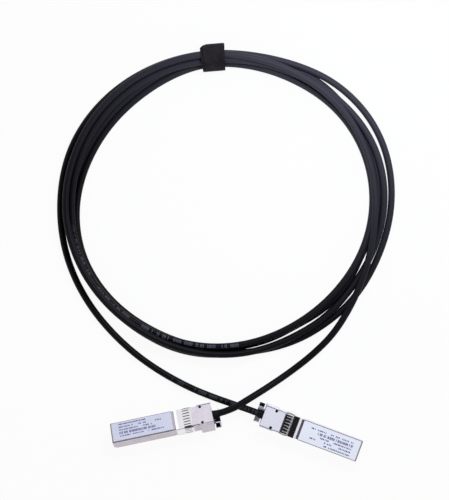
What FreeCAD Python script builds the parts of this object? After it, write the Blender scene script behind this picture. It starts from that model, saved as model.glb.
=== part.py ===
"""Direct attach copper cable: a twinax lead, coiled and strapped, with one plug on each end.

Millimetres, +Z up.  The origin lies on the surface that the cable rests on, below the middle of
the two plugs.  Each plug is drawn in its own frame: +X runs from the rear face of its shell to the
tip of its nose, +Y is its left side, and z = 0 is the underside of its rear block.
"""
import FreeCAD
import Part

import math
import os

Vector = FreeCAD.Vector
X_AXIS = Vector(1, 0, 0)
Y_AXIS = Vector(0, 1, 0)
Z_AXIS = Vector(0, 0, 1)

# ---------------------------------------------------------------- cable
CABLE_D = 4.2
CABLE_R = CABLE_D / 2
CABLE_CLEARANCE = 0.05      # cable to boot and ferrule
ARC_SHARE = 0.45            # share of the shorter run that a bend uses

OVERCUT = 1.0               # how far a cutting solid runs past what it cuts

# ---------------------------------------------------------------- shell
NOSE_W = 13.5
NOSE_H = 8.5
BLOCK_L = 8.4               # rear block, which stays outside the cage
BLOCK_W = 14.5
BLOCK_H = 10.8
BLOCK_EDGE_R = 0.6
BLOCK_TOE = 1.0             # chamfer under the block's front edge
COVER_T = 0.9
COVER_INSET = 0.2           # cover edge stands in from the base shell's side
SIDE_WALL = 0.75
FLOOR_T = 0.9
NOSE_CHAMFER = 1.1
NOSE_Z = BLOCK_H - NOSE_H   # underside of the nose; its top is level with the block
PARTING_Z = BLOCK_H - COVER_T
FLOOR_Z = NOSE_Z + FLOOR_T
SEAT_GAP = 0.05             # between pieces that are assembled without play

# the waist is the short stretch between the rear block and the collar
WAIST_L = 4.1
WAIST_COVER_W = 12.0
WAIST_SLANT = 0.8
WAIST_SLOT_W = 0.3
WAIST_SLOT_DEPTH = 1.2

# ---------------------------------------------------------------- latch's place and the nose's tip
BARREL_R = 0.95
BARREL_CLEARANCE = 0.25
ARM_REACH = 8.6             # pivot to the boss's shoulder
NOSE_REACH = 45.0           # the boss's shoulder to the tip, set by the cage
PIVOT_X = BLOCK_L + BARREL_R + BARREL_CLEARANCE
SHOULDER_X = PIVOT_X + ARM_REACH
PLUG_L = SHOULDER_X + NOSE_REACH

# ---------------------------------------------------------------- mouth
MOUTH_OPEN_L = 10.4         # length of the open underside at the nose's tip
CARD_RECESS = 3.2           # card edge behind the tip
TIP_SLANT_L = 2.8
TIP_SLANT_H = 2.7

# ---------------------------------------------------------------- sprung collar
GROOVE_L = 1.5
BAND_L = 1.6
PLATE_L = 3.6
SLIT_L = 4.3
FINGER_TIP_L = 1.4
NECK_DEPTH = 0.35
COLLAR_T = 0.25
COLLAR_BULGE = 0.45
SLIT_W = 0.55
SLIT_PITCH = 1.9
TOP_SLITS = 6
SIDE_SLITS = 3
NECK_REAR = BLOCK_L + WAIST_L
SLIT_REAR = NECK_REAR + FINGER_TIP_L
SLIT_FRONT = SLIT_REAR + SLIT_L
BAND_REAR = SLIT_FRONT + PLATE_L
COLLAR_FRONT = BAND_REAR + BAND_L
GROOVE_X = COLLAR_FRONT + GROOVE_L
NECK_W = NOSE_W - 2 * NECK_DEPTH
NECK_BOTTOM = NOSE_Z + NECK_DEPTH
NECK_TOP = BLOCK_H - NECK_DEPTH

# ---------------------------------------------------------------- cable entry
CABLE_DROP = 3.8            # cable axis below the block's top
CABLE_Z = BLOCK_H - CABLE_DROP
REAR_WALL = 0.9
BOOT_L = 3.5                # outside the rear face
BOOT_R = 2.8
BOOT_END_R = 2.4
BOOT_FLANGE_L = 1.5
BOOT_FLANGE_R = 2.85
BOOT_NECK_R = 2.45
FERRULE_L = 4.5
FERRULE_R = 2.7
FERRULE_GROOVE_D = 0.25
FERRULE_GROOVES = 3
JACKET_GRIP = 2.0           # jacket end inside the ferrule
ENTRY_CLEARANCE = 0.1
FERRULE_REAR = REAR_WALL + BOOT_FLANGE_L + 3 * ENTRY_CLEARANCE
FERRULE_FRONT = FERRULE_REAR + FERRULE_L
ENTRY_FRONT = FERRULE_FRONT + 2 * ENTRY_CLEARANCE
JACKET_END = FERRULE_REAR + JACKET_GRIP

# ---------------------------------------------------------------- cover screws
SCREW_X = 6.8
SCREW_Y = 5.4
SCREW_R = 0.5
SCREW_HEAD_R = 0.88
SCREW_HEAD_H = 0.7
SCREW_L = 4.5
SLEEVE_R = 1.3
SLEEVE_DEPTH = 2.0          # below the parting plane
SLEEVE_FLOOR = 0.6
SCREW_CLEARANCE = 0.05

# ---------------------------------------------------------------- release slide and latch
SLIDE_TRAVEL = 2.5
SLIDE_T = 0.6
SLIDE_W = 6.4
SLIDE_CLEARANCE = 0.15
SLIDE_LOW_Z = 1.3           # underside inside the rear block
SLIDE_RISE_L = 1.6
TAIL_L = 4.2                # reach behind the rear face
TAIL_EAR_SIDE = 6.5         # from the middle to the ear's outer edge
TAIL_LOW_SIDE = 5.8         # from the middle to the other end
TAIL_LIP_H = 2.2
EAR_W = 3.2
EAR_DROP = 2.2              # ears' top below the block's top
EAR_TOP_Z = BLOCK_H - EAR_DROP
EAR_FLANGE_L = 3.0
BOSS_H = 0.5                # below the nose
BOSS_L = 2.5
BOSS_W = 2.6
BOSS_TIP_W = 0.8
ARM_W = 4.4
ARM_RISE = 2.5              # arm's top above the nose's underside
ARM_TOP_Z = NOSE_Z + ARM_RISE
ARM_GAP = 0.12              # lifting bump to the arm's ramp
PIVOT_RISE = 2.3
PIVOT_Z = NOSE_Z + PIVOT_RISE
PIVOT_R = 0.5
PIVOT_CLEARANCE = 0.05
PIVOT_EMBED = 1.2           # pin length inside each wall
LIFT_DEG = 4.0
BUMP_L = 1.2
BUMP_H = 0.4
BUMP_REACH = 6.9            # pivot to the bump's lifting edge
POCKET_RISE = 3.6
POCKET_ROOF_Z = NOSE_Z + POCKET_RISE
BOSS_CLEARANCE = 0.6        # boss to the pocket's front wall
SLIDE_INSET = 0.1           # slide above the collar's seat
LEAF_T = 0.15
LEAF_W = 2.4
LEAF_SEAT_L = 2.5
LEAF_ARM_GAP = 0.03
BOSS_FRONT = SHOULDER_X + BOSS_L
POCKET_FRONT = BOSS_FRONT + BOSS_CLEARANCE
POCKET_W = SLIDE_W + 2 * SLIDE_CLEARANCE
SLIDE_HIGH_Z = NECK_BOTTOM + SLIDE_INSET
SLIDE_FRONT = POCKET_FRONT - SLIDE_CLEARANCE
SLIDE_RISE_X = BLOCK_L + SLIDE_TRAVEL + SLIDE_CLEARANCE
BUMP_X = PIVOT_X + BUMP_REACH
BUMP_Z = SLIDE_HIGH_Z + SLIDE_T + BUMP_H

# ---------------------------------------------------------------- paddle card and wires
CARD_T = 1.0
CARD_TONGUE_W = 9.2
CARD_TONGUE_L = 12.0
CARD_W = 11.4
CARD_UNDER = 2.25           # card above the nose's underside
CAVITY_WALL = 0.9           # wall between the collar's seat and the cavity
WIRE_ROOM = 10.0            # cavity behind the card's rear edge
CARD_Z = NOSE_Z + CARD_UNDER
CARD_FRONT = PLUG_L - CARD_RECESS
CAVITY_REAR = COLLAR_FRONT + CAVITY_WALL
CAVITY_W = NOSE_W - 2 * SIDE_WALL
CARD_REAR = CAVITY_REAR + WIRE_ROOM
LEDGE_L = 10.0
LEDGE_W = 1.2
HOLD_RIB_L = 2.0
HOLD_RIB_W = 1.0
CONTACTS = 10
CONTACT_PITCH = 0.8
CONTACT_W = 0.5
CONTACT_L = 4.6
CONTACT_T = 0.06
CONTACT_SETBACK = 0.6
CHIP_SIZE = 3.0
CHIP_LEAD = 3.7             # chip's front edge to the capacitors
CHIP_T = 0.8
CAPACITOR_L = 1.0
CAPACITOR_W = 0.5
CAPACITOR_PITCH = 1.4
CAPACITORS = 4
CAPACITOR_X = CARD_FRONT - CARD_TONGUE_L + CAPACITOR_L
PAIR_R = 0.6
PAIR_SPREAD = 0.9
PAIR_LAP = 3.4              # wire end over the card's rear edge
PAIR_RUN = 2.0              # straight on past the channel
PAIR_LANDING = 1.0          # level before the card's rear edge
WIRE_CHANNEL_W = 3.8
WIRE_CHANNEL_DROP = 0.7     # channel's floor below the cable's axis
WIRE_CHANNEL_Z = CABLE_Z - WIRE_CHANNEL_DROP

# ---------------------------------------------------------------- label
LABEL_T = 0.1
LABEL_REAR_MARGIN = 0.2
LABEL_TIP_MARGIN = 1.1
LABEL_SIDE_MARGIN = 0.35

# ---------------------------------------------------------------- where the plugs lie
PLUG_A_EXIT = (-14.71, 10.43)     # rear face, on the cable's axis
PLUG_A_YAW = 191.8
PLUG_A_ROLL = 35.0              # lies on one lower edge, twisted by its cable
PLUG_B_EXIT = (16.54, 10.23)
PLUG_B_YAW = -20.5
PLUG_B_ROLL = 0.0

# ---------------------------------------------------------------- coil
COIL_X = -7.66
COIL_Y = 140.93
COIL_CENTRE = Vector(COIL_X, COIL_Y, 0)
COIL_TOP_Z = 8.8
# angle, inner radius and width of the bundle; each outline arc spans three stations
COIL_STATIONS = [
    (0, 90.1, 15.9),
    (30, 89.7, 16.8),
    (60, 86.9, 13.6),
    (90, 85.4, 11.0),
    (120, 84.0, 14.6),
    (150, 85.3, 17.1),
    (180, 90.1, 13.7),
    (210, 90.5, 9.0),
    (240, 87.6, 9.4),
    (270, 85.9, 10.2),
    (300, 84.7, 14.0),
    (330, 86.8, 15.4),
]

# ---------------------------------------------------------------- strap
STRAP_ANGLE = 94.6
STRAP_WIDTH = 14.8              # along the cable
STRAP_INNER_R = 81.9
STRAP_OUTER_R = 99.6
STRAP_T = 1.3
STRAP_TOP_Z = 14.6
STRAP_CORNER_R = 3.2
STRAP_CLEARANCE = 0.3
FLAP_T = 1.2
FLAP_SHIFT = 1.4                # the upper layer sits a little askew
FLAP_BEVEL = 3.0
CROWN_SPREAD = 26.0             # the bundle climbs over this length beside the strap
ARCH_SPREAD = 8.3               # and is back on the surface this far from it

# ---------------------------------------------------------------- leads, chosen by hand
LEAD_A_STRAIGHT = 9.5           # out of the rear face before the first bend
LEAD_A_POINTS = [
    (7.64, 20.23, 9.2),
    (20.94, 28.13, 5.6),
    (34.14, 36.83, 2.6),
    (47.54, 47.23, 2.2),
    (59.74, 60.03, 3.4),
    (69.94, 75.03, 6.1),
    (77.14, 89.83, 6.3),
]
LEAD_B_STRAIGHT = 7.5
LEAD_B_POINTS = [
    (-1.66, 16.33, 3.1),
    (-14.26, 20.63, 2.25),
    (-28.26, 26.23, 2.15),
    (-45.66, 35.43, 2.15),
    (-61.96, 46.93, 2.15),
    (-75.86, 59.83, 2.15),
    (-87.86, 73.83, 2.15),
    (-97.26, 89.43, 2.15),
    (-103.26, 105.63, 2.15),
]


# ================================================================ helpers
def block(x0, x1, y0, y1, z0, z1):
    """Box between two corners."""
    return Part.makeBox(x1 - x0, y1 - y0, z1 - z0, Vector(x0, y0, z0))


def centred_block(x0, x1, width, z0, z1):
    """Box that is symmetric about the plug's middle plane."""
    return block(x0, x1, -width / 2, width / 2, z0, z1)


def prism_y(outline, width, middle=0.0):
    """Side outline of (x, z) points, extruded across the plug."""
    corners = [Vector(x, middle - width / 2, z) for x, z in outline]
    return Part.Face(Part.makePolygon(corners + corners[:1])).extrude(Y_AXIS * width)


def prism_x(outline, x0, x1):
    """Cross-section of (y, z) points, extruded along the plug."""
    corners = [Vector(x0, y, z) for y, z in outline]
    return Part.Face(Part.makePolygon(corners + corners[:1])).extrude(X_AXIS * (x1 - x0))


def prism_z(outline, z0, z1):
    """Plan outline of (x, y) points, extruded upwards."""
    corners = [Vector(x, y, z0) for x, y in outline]
    return Part.Face(Part.makePolygon(corners + corners[:1])).extrude(Z_AXIS * (z1 - z0))


def rod_x(x0, x1, radius, y=0.0, z=CABLE_Z):
    """Round rod along the plug, on the cable's axis unless told otherwise."""
    return Part.makeCylinder(radius, x1 - x0, Vector(x0, y, z), X_AXIS)


def rod_z(x, y, radius, z0, z1):
    """Upright round rod."""
    return Part.makeCylinder(radius, z1 - z0, Vector(x, y, z0), Z_AXIS)


def turned(profile):
    """Solid of revolution about the cable's axis, from (x, radius) points."""
    corners = [Vector(x, 0, CABLE_Z + radius) for x, radius in profile]
    face = Part.Face(Part.makePolygon(corners + corners[:1]))
    return face.revolve(Vector(0, 0, CABLE_Z), X_AXIS, 360)


def mirrored_pair(shape):
    """A shape with its mirror image on the other side of the plug."""
    return [shape, shape.mirror(Vector(0, 0, 0), Y_AXIS)]


def u_channel(x0, x1, radius):
    """Round-bottomed trough along the cable's axis, open up to the parting plane."""
    trough = centred_block(x0, x1, 2 * radius, CABLE_Z, PARTING_Z + OVERCUT)
    return rod_x(x0, x1, radius).fuse(trough)


# ================================================================ base shell
def neck_sleeve():
    """What the collar's seat takes off the shell, all round."""
    outer = centred_block(NECK_REAR, GROOVE_X, BLOCK_W + 2 * OVERCUT,
                          NOSE_Z - OVERCUT, BLOCK_H + OVERCUT)
    return outer.cut(centred_block(NECK_REAR, GROOVE_X, NECK_W, NECK_BOTTOM, NECK_TOP))


def rear_block():
    """The proud rear block, rounded along its lower and rear edges."""
    body = centred_block(0, BLOCK_L, BLOCK_W, 0, PARTING_Z)
    soft = [
        edge for edge in body.Edges
        if edge.BoundBox.XMax < BLOCK_L - 1e-6 and edge.BoundBox.ZMax < 1e-6
        or edge.BoundBox.XLength > BLOCK_L / 2 and edge.BoundBox.ZMax < 1e-6
        or edge.BoundBox.ZLength > BLOCK_H / 2 and edge.BoundBox.XMax < 1e-6
    ]
    body = body.makeFillet(BLOCK_EDGE_R, soft)
    toe = [
        (BLOCK_L - BLOCK_TOE - OVERCUT, -OVERCUT), (BLOCK_L + OVERCUT, -OVERCUT),
        (BLOCK_L + OVERCUT, BLOCK_TOE + OVERCUT),
    ]
    return body.cut(prism_y(toe, BLOCK_W + 2 * OVERCUT))


def nose_body():
    """Long nose with chamfered lower edges."""
    half = NOSE_W / 2
    section = [
        (-half, PARTING_Z), (-half, NOSE_Z + NOSE_CHAMFER), (-half + NOSE_CHAMFER, NOSE_Z),
        (half - NOSE_CHAMFER, NOSE_Z), (half, NOSE_Z + NOSE_CHAMFER), (half, PARTING_Z),
    ]
    return prism_x(section, BLOCK_L, PLUG_L)


def latch_pocket():
    """Pocket for the latch arm and the slot that the release slide runs in."""
    slot_top = SLIDE_LOW_Z + SLIDE_T + SLIDE_CLEARANCE
    slot = centred_block(-OVERCUT, BLOCK_L + OVERCUT, POCKET_W,
                         SLIDE_LOW_Z - SLIDE_CLEARANCE, slot_top)
    pocket = centred_block(BLOCK_L, POCKET_FRONT, POCKET_W, 0, POCKET_ROOF_Z)
    half_pin = POCKET_W / 2 + PIVOT_EMBED
    foot = Vector(PIVOT_X, -half_pin, PIVOT_Z)
    return slot.fuse([pocket, Part.makeCylinder(PIVOT_R, 2 * half_pin, foot, Y_AXIS)])


def cable_entry():
    """Bore, boot pocket, ferrule trough and wire channel, all open to the cover."""
    neck = u_channel(-OVERCUT, REAR_WALL + OVERCUT, BOOT_NECK_R + SEAT_GAP)
    boot_pocket = u_channel(
        REAR_WALL, REAR_WALL + BOOT_FLANGE_L + ENTRY_CLEARANCE, BOOT_FLANGE_R + SEAT_GAP)
    trough = u_channel(FERRULE_REAR - 2 * ENTRY_CLEARANCE, ENTRY_FRONT, FERRULE_R + ENTRY_CLEARANCE)
    channel = centred_block(ENTRY_FRONT - OVERCUT, CAVITY_REAR + OVERCUT, WIRE_CHANNEL_W,
                            WIRE_CHANNEL_Z, PARTING_Z + OVERCUT)
    return neck.fuse([boot_pocket, trough, channel])


def screw_wells():
    """Pockets for the cover's sleeves, with a thread core below each."""
    wells = []
    for side in (-1, 1):
        y = side * SCREW_Y
        sleeve_z = PARTING_Z - SLEEVE_DEPTH
        wells.append(rod_z(SCREW_X, y, SLEEVE_R + SEAT_GAP, sleeve_z, PARTING_Z + OVERCUT))
        core_z = sleeve_z + SLEEVE_FLOOR - SCREW_L - SCREW_CLEARANCE
        wells.append(rod_z(SCREW_X, y, SCREW_R, core_z, sleeve_z + OVERCUT))
    return wells


def housing_base():
    """Die-cast lower shell."""
    body = nose_body().fuse(rear_block()).cut(neck_sleeve())
    cavity = centred_block(CAVITY_REAR, PLUG_L + OVERCUT, CAVITY_W, FLOOR_Z, PARTING_Z + OVERCUT)
    mouth = centred_block(PLUG_L - MOUTH_OPEN_L, PLUG_L + OVERCUT, CAVITY_W, 0, FLOOR_Z + OVERCUT)
    tip = [
        (PLUG_L - TIP_SLANT_L, NOSE_Z - OVERCUT), (PLUG_L - TIP_SLANT_L, NOSE_Z),
        (PLUG_L, NOSE_Z + TIP_SLANT_H), (PLUG_L + OVERCUT, NOSE_Z + TIP_SLANT_H),
        (PLUG_L + OVERCUT, NOSE_Z - OVERCUT),
    ]
    slot_y = WAIST_COVER_W / 2 + SEAT_GAP
    slot = block(BLOCK_L, NECK_REAR, slot_y, slot_y + WAIST_SLOT_W,
                 PARTING_Z - WAIST_SLOT_DEPTH, PARTING_Z + OVERCUT)
    cuts = [cavity, mouth, prism_y(tip, NOSE_W + 2 * OVERCUT), latch_pocket(), cable_entry()]
    body = body.cut(cuts + screw_wells() + mirrored_pair(slot))
    ledge = block(CARD_REAR + HOLD_RIB_L, CARD_REAR + HOLD_RIB_L + LEDGE_L,
                  CAVITY_W / 2 - LEDGE_W, CAVITY_W / 2, FLOOR_Z, CARD_Z)
    return body.fuse(mirrored_pair(ledge)).removeSplitter()


# ================================================================ cover
def cover_outline():
    """Right half of the cover's plan, from the rear face to the tip."""
    block_half = BLOCK_W / 2 - COVER_INSET
    waist_half = WAIST_COVER_W / 2
    nose_half = NOSE_W / 2 - COVER_INSET
    return [
        (0, block_half), (BLOCK_L, block_half), (BLOCK_L + WAIST_SLANT, waist_half),
        (NECK_REAR, waist_half), (NECK_REAR, nose_half), (PLUG_L, nose_half),
    ]


def screw_sleeves():
    """Sleeves that reach into the base shell, and the stepped holes through them."""
    sleeves = []
    holes = []
    sleeve_z = PARTING_Z - SLEEVE_DEPTH
    for side in (-1, 1):
        y = side * SCREW_Y
        sleeves.append(rod_z(SCREW_X, y, SLEEVE_R, sleeve_z, PARTING_Z + COVER_T / 2))
        holes.append(rod_z(SCREW_X, y, SCREW_HEAD_R + SCREW_CLEARANCE,
                           sleeve_z + SLEEVE_FLOOR, BLOCK_H + OVERCUT))
        holes.append(rod_z(SCREW_X, y, SCREW_R + SCREW_CLEARANCE,
                           sleeve_z - OVERCUT, BLOCK_H))
    return sleeves, holes


def housing_cover():
    """Die-cast cover plate, flush with the block and stepped down under the collar."""
    left = cover_outline()
    right = [(x, -y) for x, y in reversed(left)]
    plate = prism_z(left + right, PARTING_Z, BLOCK_H)
    sleeves, holes = screw_sleeves()
    rib_y = CARD_W / 2 - HOLD_RIB_W
    rib = block(CARD_REAR + HOLD_RIB_L, CARD_REAR + 2 * HOLD_RIB_L, rib_y, CARD_W / 2,
                CARD_Z + CARD_T + SEAT_GAP, PARTING_Z + COVER_T / 2)
    plate = plate.cut(neck_sleeve()).fuse(sleeves + mirrored_pair(rib))
    return plate.cut(holes).removeSplitter()


def cover_screws():
    """Two deep-set screws, heads down inside the cover's sleeves."""
    screws = []
    head_z = PARTING_Z - SLEEVE_DEPTH + SLEEVE_FLOOR
    for side in (-1, 1):
        y = side * SCREW_Y
        head = rod_z(SCREW_X, y, SCREW_HEAD_R, head_z, head_z + SCREW_HEAD_H)
        drive = rod_z(SCREW_X, y, SCREW_HEAD_R / 2, head_z + SCREW_HEAD_H / 2, head_z + SCREW_HEAD_H)
        shank = rod_z(SCREW_X, y, SCREW_R, head_z - SCREW_L, head_z)
        screws.append(head.fuse(shank).cut(drive))
    return Part.makeCompound(screws)


def label():
    """Thin label on the cover's plain stretch."""
    width = NOSE_W - 2 * COVER_INSET - 2 * LABEL_SIDE_MARGIN
    return centred_block(GROOVE_X + LABEL_REAR_MARGIN, PLUG_L - LABEL_TIP_MARGIN, width,
                         BLOCK_H, BLOCK_H + LABEL_T)


# ================================================================ collar
def finger_sheet(width):
    """Sprung sheet for one side, flat on z = 0 and bowed outwards along its slits."""
    outer = [Vector(COLLAR_FRONT, 0, COLLAR_T), Vector(SLIT_FRONT, 0, COLLAR_T)]
    crown = Vector((SLIT_FRONT + NECK_REAR) / 2, 0, COLLAR_T + COLLAR_BULGE)
    tip = Vector(NECK_REAR + SEAT_GAP, 0, COLLAR_T)
    down = Vector(0, 0, -COLLAR_T)
    path = [
        Part.LineSegment(outer[0], outer[1]),
        Part.Arc(outer[1], crown, tip),
        Part.LineSegment(tip, tip + down),
        Part.Arc(tip + down, crown + down, outer[1] + down),
        Part.LineSegment(outer[1] + down, outer[0] + down),
        Part.LineSegment(outer[0] + down, outer[0]),
    ]
    face = Part.Face(Part.Wire([piece.toShape() for piece in path]))
    sheet = face.extrude(Y_AXIS * width)
    sheet.translate(Vector(0, -width / 2, 0))
    return sheet


def slit_sheet(width, slits):
    """One side of the collar with its slits and open corners."""
    sheet = finger_sheet(width)
    first = -(slits - 1) / 2 * SLIT_PITCH
    cuts = []
    for index in range(slits):
        y = first + index * SLIT_PITCH
        cuts.append(block(SLIT_REAR, SLIT_FRONT, y - SLIT_W / 2, y + SLIT_W / 2,
                          -OVERCUT, COLLAR_T + COLLAR_BULGE + OVERCUT))
    return sheet.cut(cuts)


def on_side(sheet, turn_deg, reach):
    """Turns a flat sheet about the plug's axis and puts it on a face of the neck."""
    placed = sheet.copy()
    placed.translate(Vector(0, 0, reach))
    placed.rotate(Vector(0, 0, 0), X_AXIS, turn_deg)
    placed.translate(Vector(0, 0, (NECK_TOP + NECK_BOTTOM) / 2))
    return placed


def emi_collar():
    """Sprung shielding collar: a closed band with bowed fingers on its four sides."""
    half_w = NECK_W / 2 + SEAT_GAP
    half_h = (NECK_TOP - NECK_BOTTOM) / 2 + SEAT_GAP
    middle = (NECK_TOP + NECK_BOTTOM) / 2
    flat_w = NECK_W - 2 * COLLAR_BULGE
    side_w = NECK_TOP - NECK_BOTTOM - 2 * COLLAR_BULGE
    grown = 2 * COLLAR_T
    ring = centred_block(SLIT_FRONT, COLLAR_FRONT, 2 * half_w + grown,
                         middle - half_h - COLLAR_T, middle + half_h + COLLAR_T)
    ring = ring.cut(centred_block(SLIT_FRONT - OVERCUT, COLLAR_FRONT + OVERCUT, 2 * half_w,
                                  middle - half_h, middle + half_h))
    sides = [
        on_side(slit_sheet(flat_w, TOP_SLITS), 0, half_h),
        on_side(slit_sheet(flat_w, TOP_SLITS), 180, half_h),
        on_side(slit_sheet(side_w, SIDE_SLITS), 90, half_w),
        on_side(slit_sheet(side_w, SIDE_SLITS), -90, half_w),
    ]
    window = centred_block(NECK_REAR - OVERCUT, BOSS_FRONT + SLIDE_CLEARANCE, POCKET_W, 0,
                           NECK_BOTTOM + COLLAR_T / 2)
    return ring.fuse(sides).cut(window).removeSplitter()


# ================================================================ release slide and latch
def strip_outline(lower_path, thickness):
    """Side outline of a bent strip from its lower line of (x, z) points."""
    upper = [(x, z + thickness) for x, z in reversed(lower_path)]
    return list(lower_path) + upper


def release_slide():
    """Pull-to-release slide: joggled strip, lifting bump, and a lipped tail with a tall ear."""
    rise = [
        (-TAIL_L, SLIDE_LOW_Z), (SLIDE_RISE_X, SLIDE_LOW_Z),
        (SLIDE_RISE_X + SLIDE_RISE_L, SLIDE_HIGH_Z), (SLIDE_FRONT, SLIDE_HIGH_Z),
    ]
    strip = prism_y(strip_outline(rise, SLIDE_T), SLIDE_W)
    fork = centred_block(SHOULDER_X - 2 * SLIDE_CLEARANCE, PLUG_L, BOSS_W + 4 * SLIDE_CLEARANCE,
                         0, BUMP_Z)
    bump = centred_block(BUMP_X, BUMP_X + BUMP_L, BOSS_W, SLIDE_HIGH_Z, BUMP_Z)
    tail_front = -SLIDE_CLEARANCE - SLIDE_T
    tail = block(-TAIL_L, tail_front, -TAIL_LOW_SIDE, TAIL_EAR_SIDE,
                 SLIDE_LOW_Z, SLIDE_LOW_Z + SLIDE_T)
    lip = block(-TAIL_L, -TAIL_L + SLIDE_T, -TAIL_LOW_SIDE, TAIL_EAR_SIDE,
                SLIDE_LOW_Z, SLIDE_LOW_Z + TAIL_LIP_H)
    ear_y = TAIL_EAR_SIDE - EAR_W
    ear = block(-TAIL_L, -TAIL_L + SLIDE_T, ear_y, TAIL_EAR_SIDE, SLIDE_LOW_Z, EAR_TOP_Z)
    flange = block(-TAIL_L, -TAIL_L + EAR_FLANGE_L, ear_y, TAIL_EAR_SIDE,
                   EAR_TOP_Z - SLIDE_T, EAR_TOP_Z)
    body = strip.cut(fork).fuse([bump, tail, lip, ear, flange])
    return body.removeSplitter()


def latch_boss():
    """Triangular locking boss: square shoulder to the rear, long slope to the nose."""
    tip_z = NOSE_Z - BOSS_H
    side = [
        (SHOULDER_X, tip_z), (SHOULDER_X + BOSS_L / 5, tip_z), (BOSS_FRONT, NOSE_Z),
        (BOSS_FRONT, ARM_TOP_Z), (SHOULDER_X, ARM_TOP_Z),
    ]
    plan = [
        (SHOULDER_X, -BOSS_W / 2), (BOSS_FRONT, -BOSS_TIP_W / 2),
        (BOSS_FRONT, BOSS_TIP_W / 2), (SHOULDER_X, BOSS_W / 2),
    ]
    return prism_y(side, BOSS_W).common(prism_z(plan, tip_z - OVERCUT, ARM_TOP_Z + OVERCUT))


def latch_arm():
    """Rocker that carries the boss; the slide's bump runs under its ramp."""
    lift = math.radians(LIFT_DEG)
    flat_z = BUMP_Z + ARM_GAP
    ramp_drop = lift * (BUMP_REACH - SLIDE_TRAVEL)
    low_z = flat_z - ramp_drop
    side = [
        (PIVOT_X, low_z), (BUMP_X - SLIDE_TRAVEL, low_z), (BUMP_X, flat_z),
        (BOSS_FRONT, flat_z), (BOSS_FRONT, ARM_TOP_Z), (PIVOT_X, ARM_TOP_Z),
    ]
    barrel = Part.makeCylinder(BARREL_R, ARM_W, Vector(PIVOT_X, -ARM_W / 2, PIVOT_Z), Y_AXIS)
    bore = Part.makeCylinder(PIVOT_R + PIVOT_CLEARANCE, ARM_W + 2 * OVERCUT,
                             Vector(PIVOT_X, -ARM_W / 2 - OVERCUT, PIVOT_Z), Y_AXIS)
    return prism_y(side, ARM_W).fuse([barrel, latch_boss()]).cut(bore).removeSplitter()


def latch_pin():
    """Pin across the pocket, held in both walls."""
    half = POCKET_W / 2 + PIVOT_EMBED
    return Part.makeCylinder(PIVOT_R, 2 * half, Vector(PIVOT_X, -half, PIVOT_Z), Y_AXIS)


def leaf_spring():
    """Bent leaf from the pocket's roof down onto the latch arm."""
    seat_x = PIVOT_X + BARREL_R + 2 * BARREL_CLEARANCE
    tip_z = ARM_TOP_Z + LEAF_ARM_GAP
    line = [
        (seat_x, POCKET_ROOF_Z - LEAF_T), (seat_x + LEAF_SEAT_L, POCKET_ROOF_Z - LEAF_T),
        (BUMP_X, tip_z), (BUMP_X + BUMP_L, tip_z + LEAF_T),
    ]
    return prism_y(strip_outline(line, LEAF_T), LEAF_W)


# ================================================================ card and wires
def paddle_card():
    """Circuit card with a narrower tongue at its mating edge."""
    half = CARD_W / 2
    tongue = CARD_TONGUE_W / 2
    shoulder = CARD_FRONT - CARD_TONGUE_L
    plan = [
        (CARD_REAR, half), (shoulder, half), (shoulder, tongue), (CARD_FRONT, tongue),
        (CARD_FRONT, -tongue), (shoulder, -tongue), (shoulder, -half), (CARD_REAR, -half),
    ]
    return prism_z(plan, CARD_Z, CARD_Z + CARD_T)


def card_contacts():
    """Two rows of edge contacts, above and below the card."""
    front = CARD_FRONT - CONTACT_SETBACK
    first = -(CONTACTS - 1) / 2 * CONTACT_PITCH
    pads = []
    for index in range(CONTACTS):
        y = first + index * CONTACT_PITCH
        for z in (CARD_Z - CONTACT_T, CARD_Z + CARD_T):
            pads.append(block(front - CONTACT_L, front, y - CONTACT_W / 2, y + CONTACT_W / 2,
                              z, z + CONTACT_T))
    return Part.makeCompound(pads)


def memory_chip():
    """Small memory package on the card."""
    x = CAPACITOR_X - CHIP_LEAD - CHIP_SIZE
    return centred_block(x, x + CHIP_SIZE, CHIP_SIZE, CARD_Z + CARD_T, CARD_Z + CARD_T + CHIP_T)


def capacitors():
    """Row of coupling capacitors between the chip and the contacts."""
    first = -(CAPACITORS - 1) / 2 * CAPACITOR_PITCH
    parts = []
    for index in range(CAPACITORS):
        y = first + index * CAPACITOR_PITCH
        parts.append(block(CAPACITOR_X, CAPACITOR_X + CAPACITOR_L, y - CAPACITOR_W / 2,
                           y + CAPACITOR_W / 2, CARD_Z + CARD_T, CARD_Z + CARD_T + CAPACITOR_W))
    return Part.makeCompound(parts)


def wire_pairs():
    """Two shielded pairs: one ends on top of the card, the other below it."""
    lap_x = CARD_REAR + PAIR_LAP
    drop_x = CAVITY_REAR + PAIR_RUN
    land_x = CARD_REAR - PAIR_LANDING
    above = CARD_Z + CARD_T + PAIR_R + SEAT_GAP
    below = CARD_Z - PAIR_R - SEAT_GAP
    pairs = []
    for side, end_z in ((1, above), (-1, below)):
        y = side * PAIR_SPREAD
        route = [
            Vector(JACKET_END, y, CABLE_Z), Vector(drop_x, y, CABLE_Z),
            Vector(land_x, 2 * y, end_z), Vector(lap_x, 2 * y, end_z),
        ]
        pairs.append(tube(route, PAIR_R)[0])
    return Part.makeCompound(pairs)


# ================================================================ cable entry pieces
def cable_boot():
    """Flanged boot that keeps the cable from chafing on the rear wall."""
    bore = CABLE_R + CABLE_CLEARANCE
    inner_end = REAR_WALL + BOOT_FLANGE_L
    profile = [
        (-BOOT_L, bore), (-BOOT_L, BOOT_END_R), (-SEAT_GAP, BOOT_R), (-SEAT_GAP, BOOT_NECK_R),
        (REAR_WALL + SEAT_GAP, BOOT_NECK_R), (REAR_WALL + SEAT_GAP, BOOT_FLANGE_R),
        (inner_end, BOOT_FLANGE_R), (inner_end, bore),
    ]
    return turned(profile)


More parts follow.
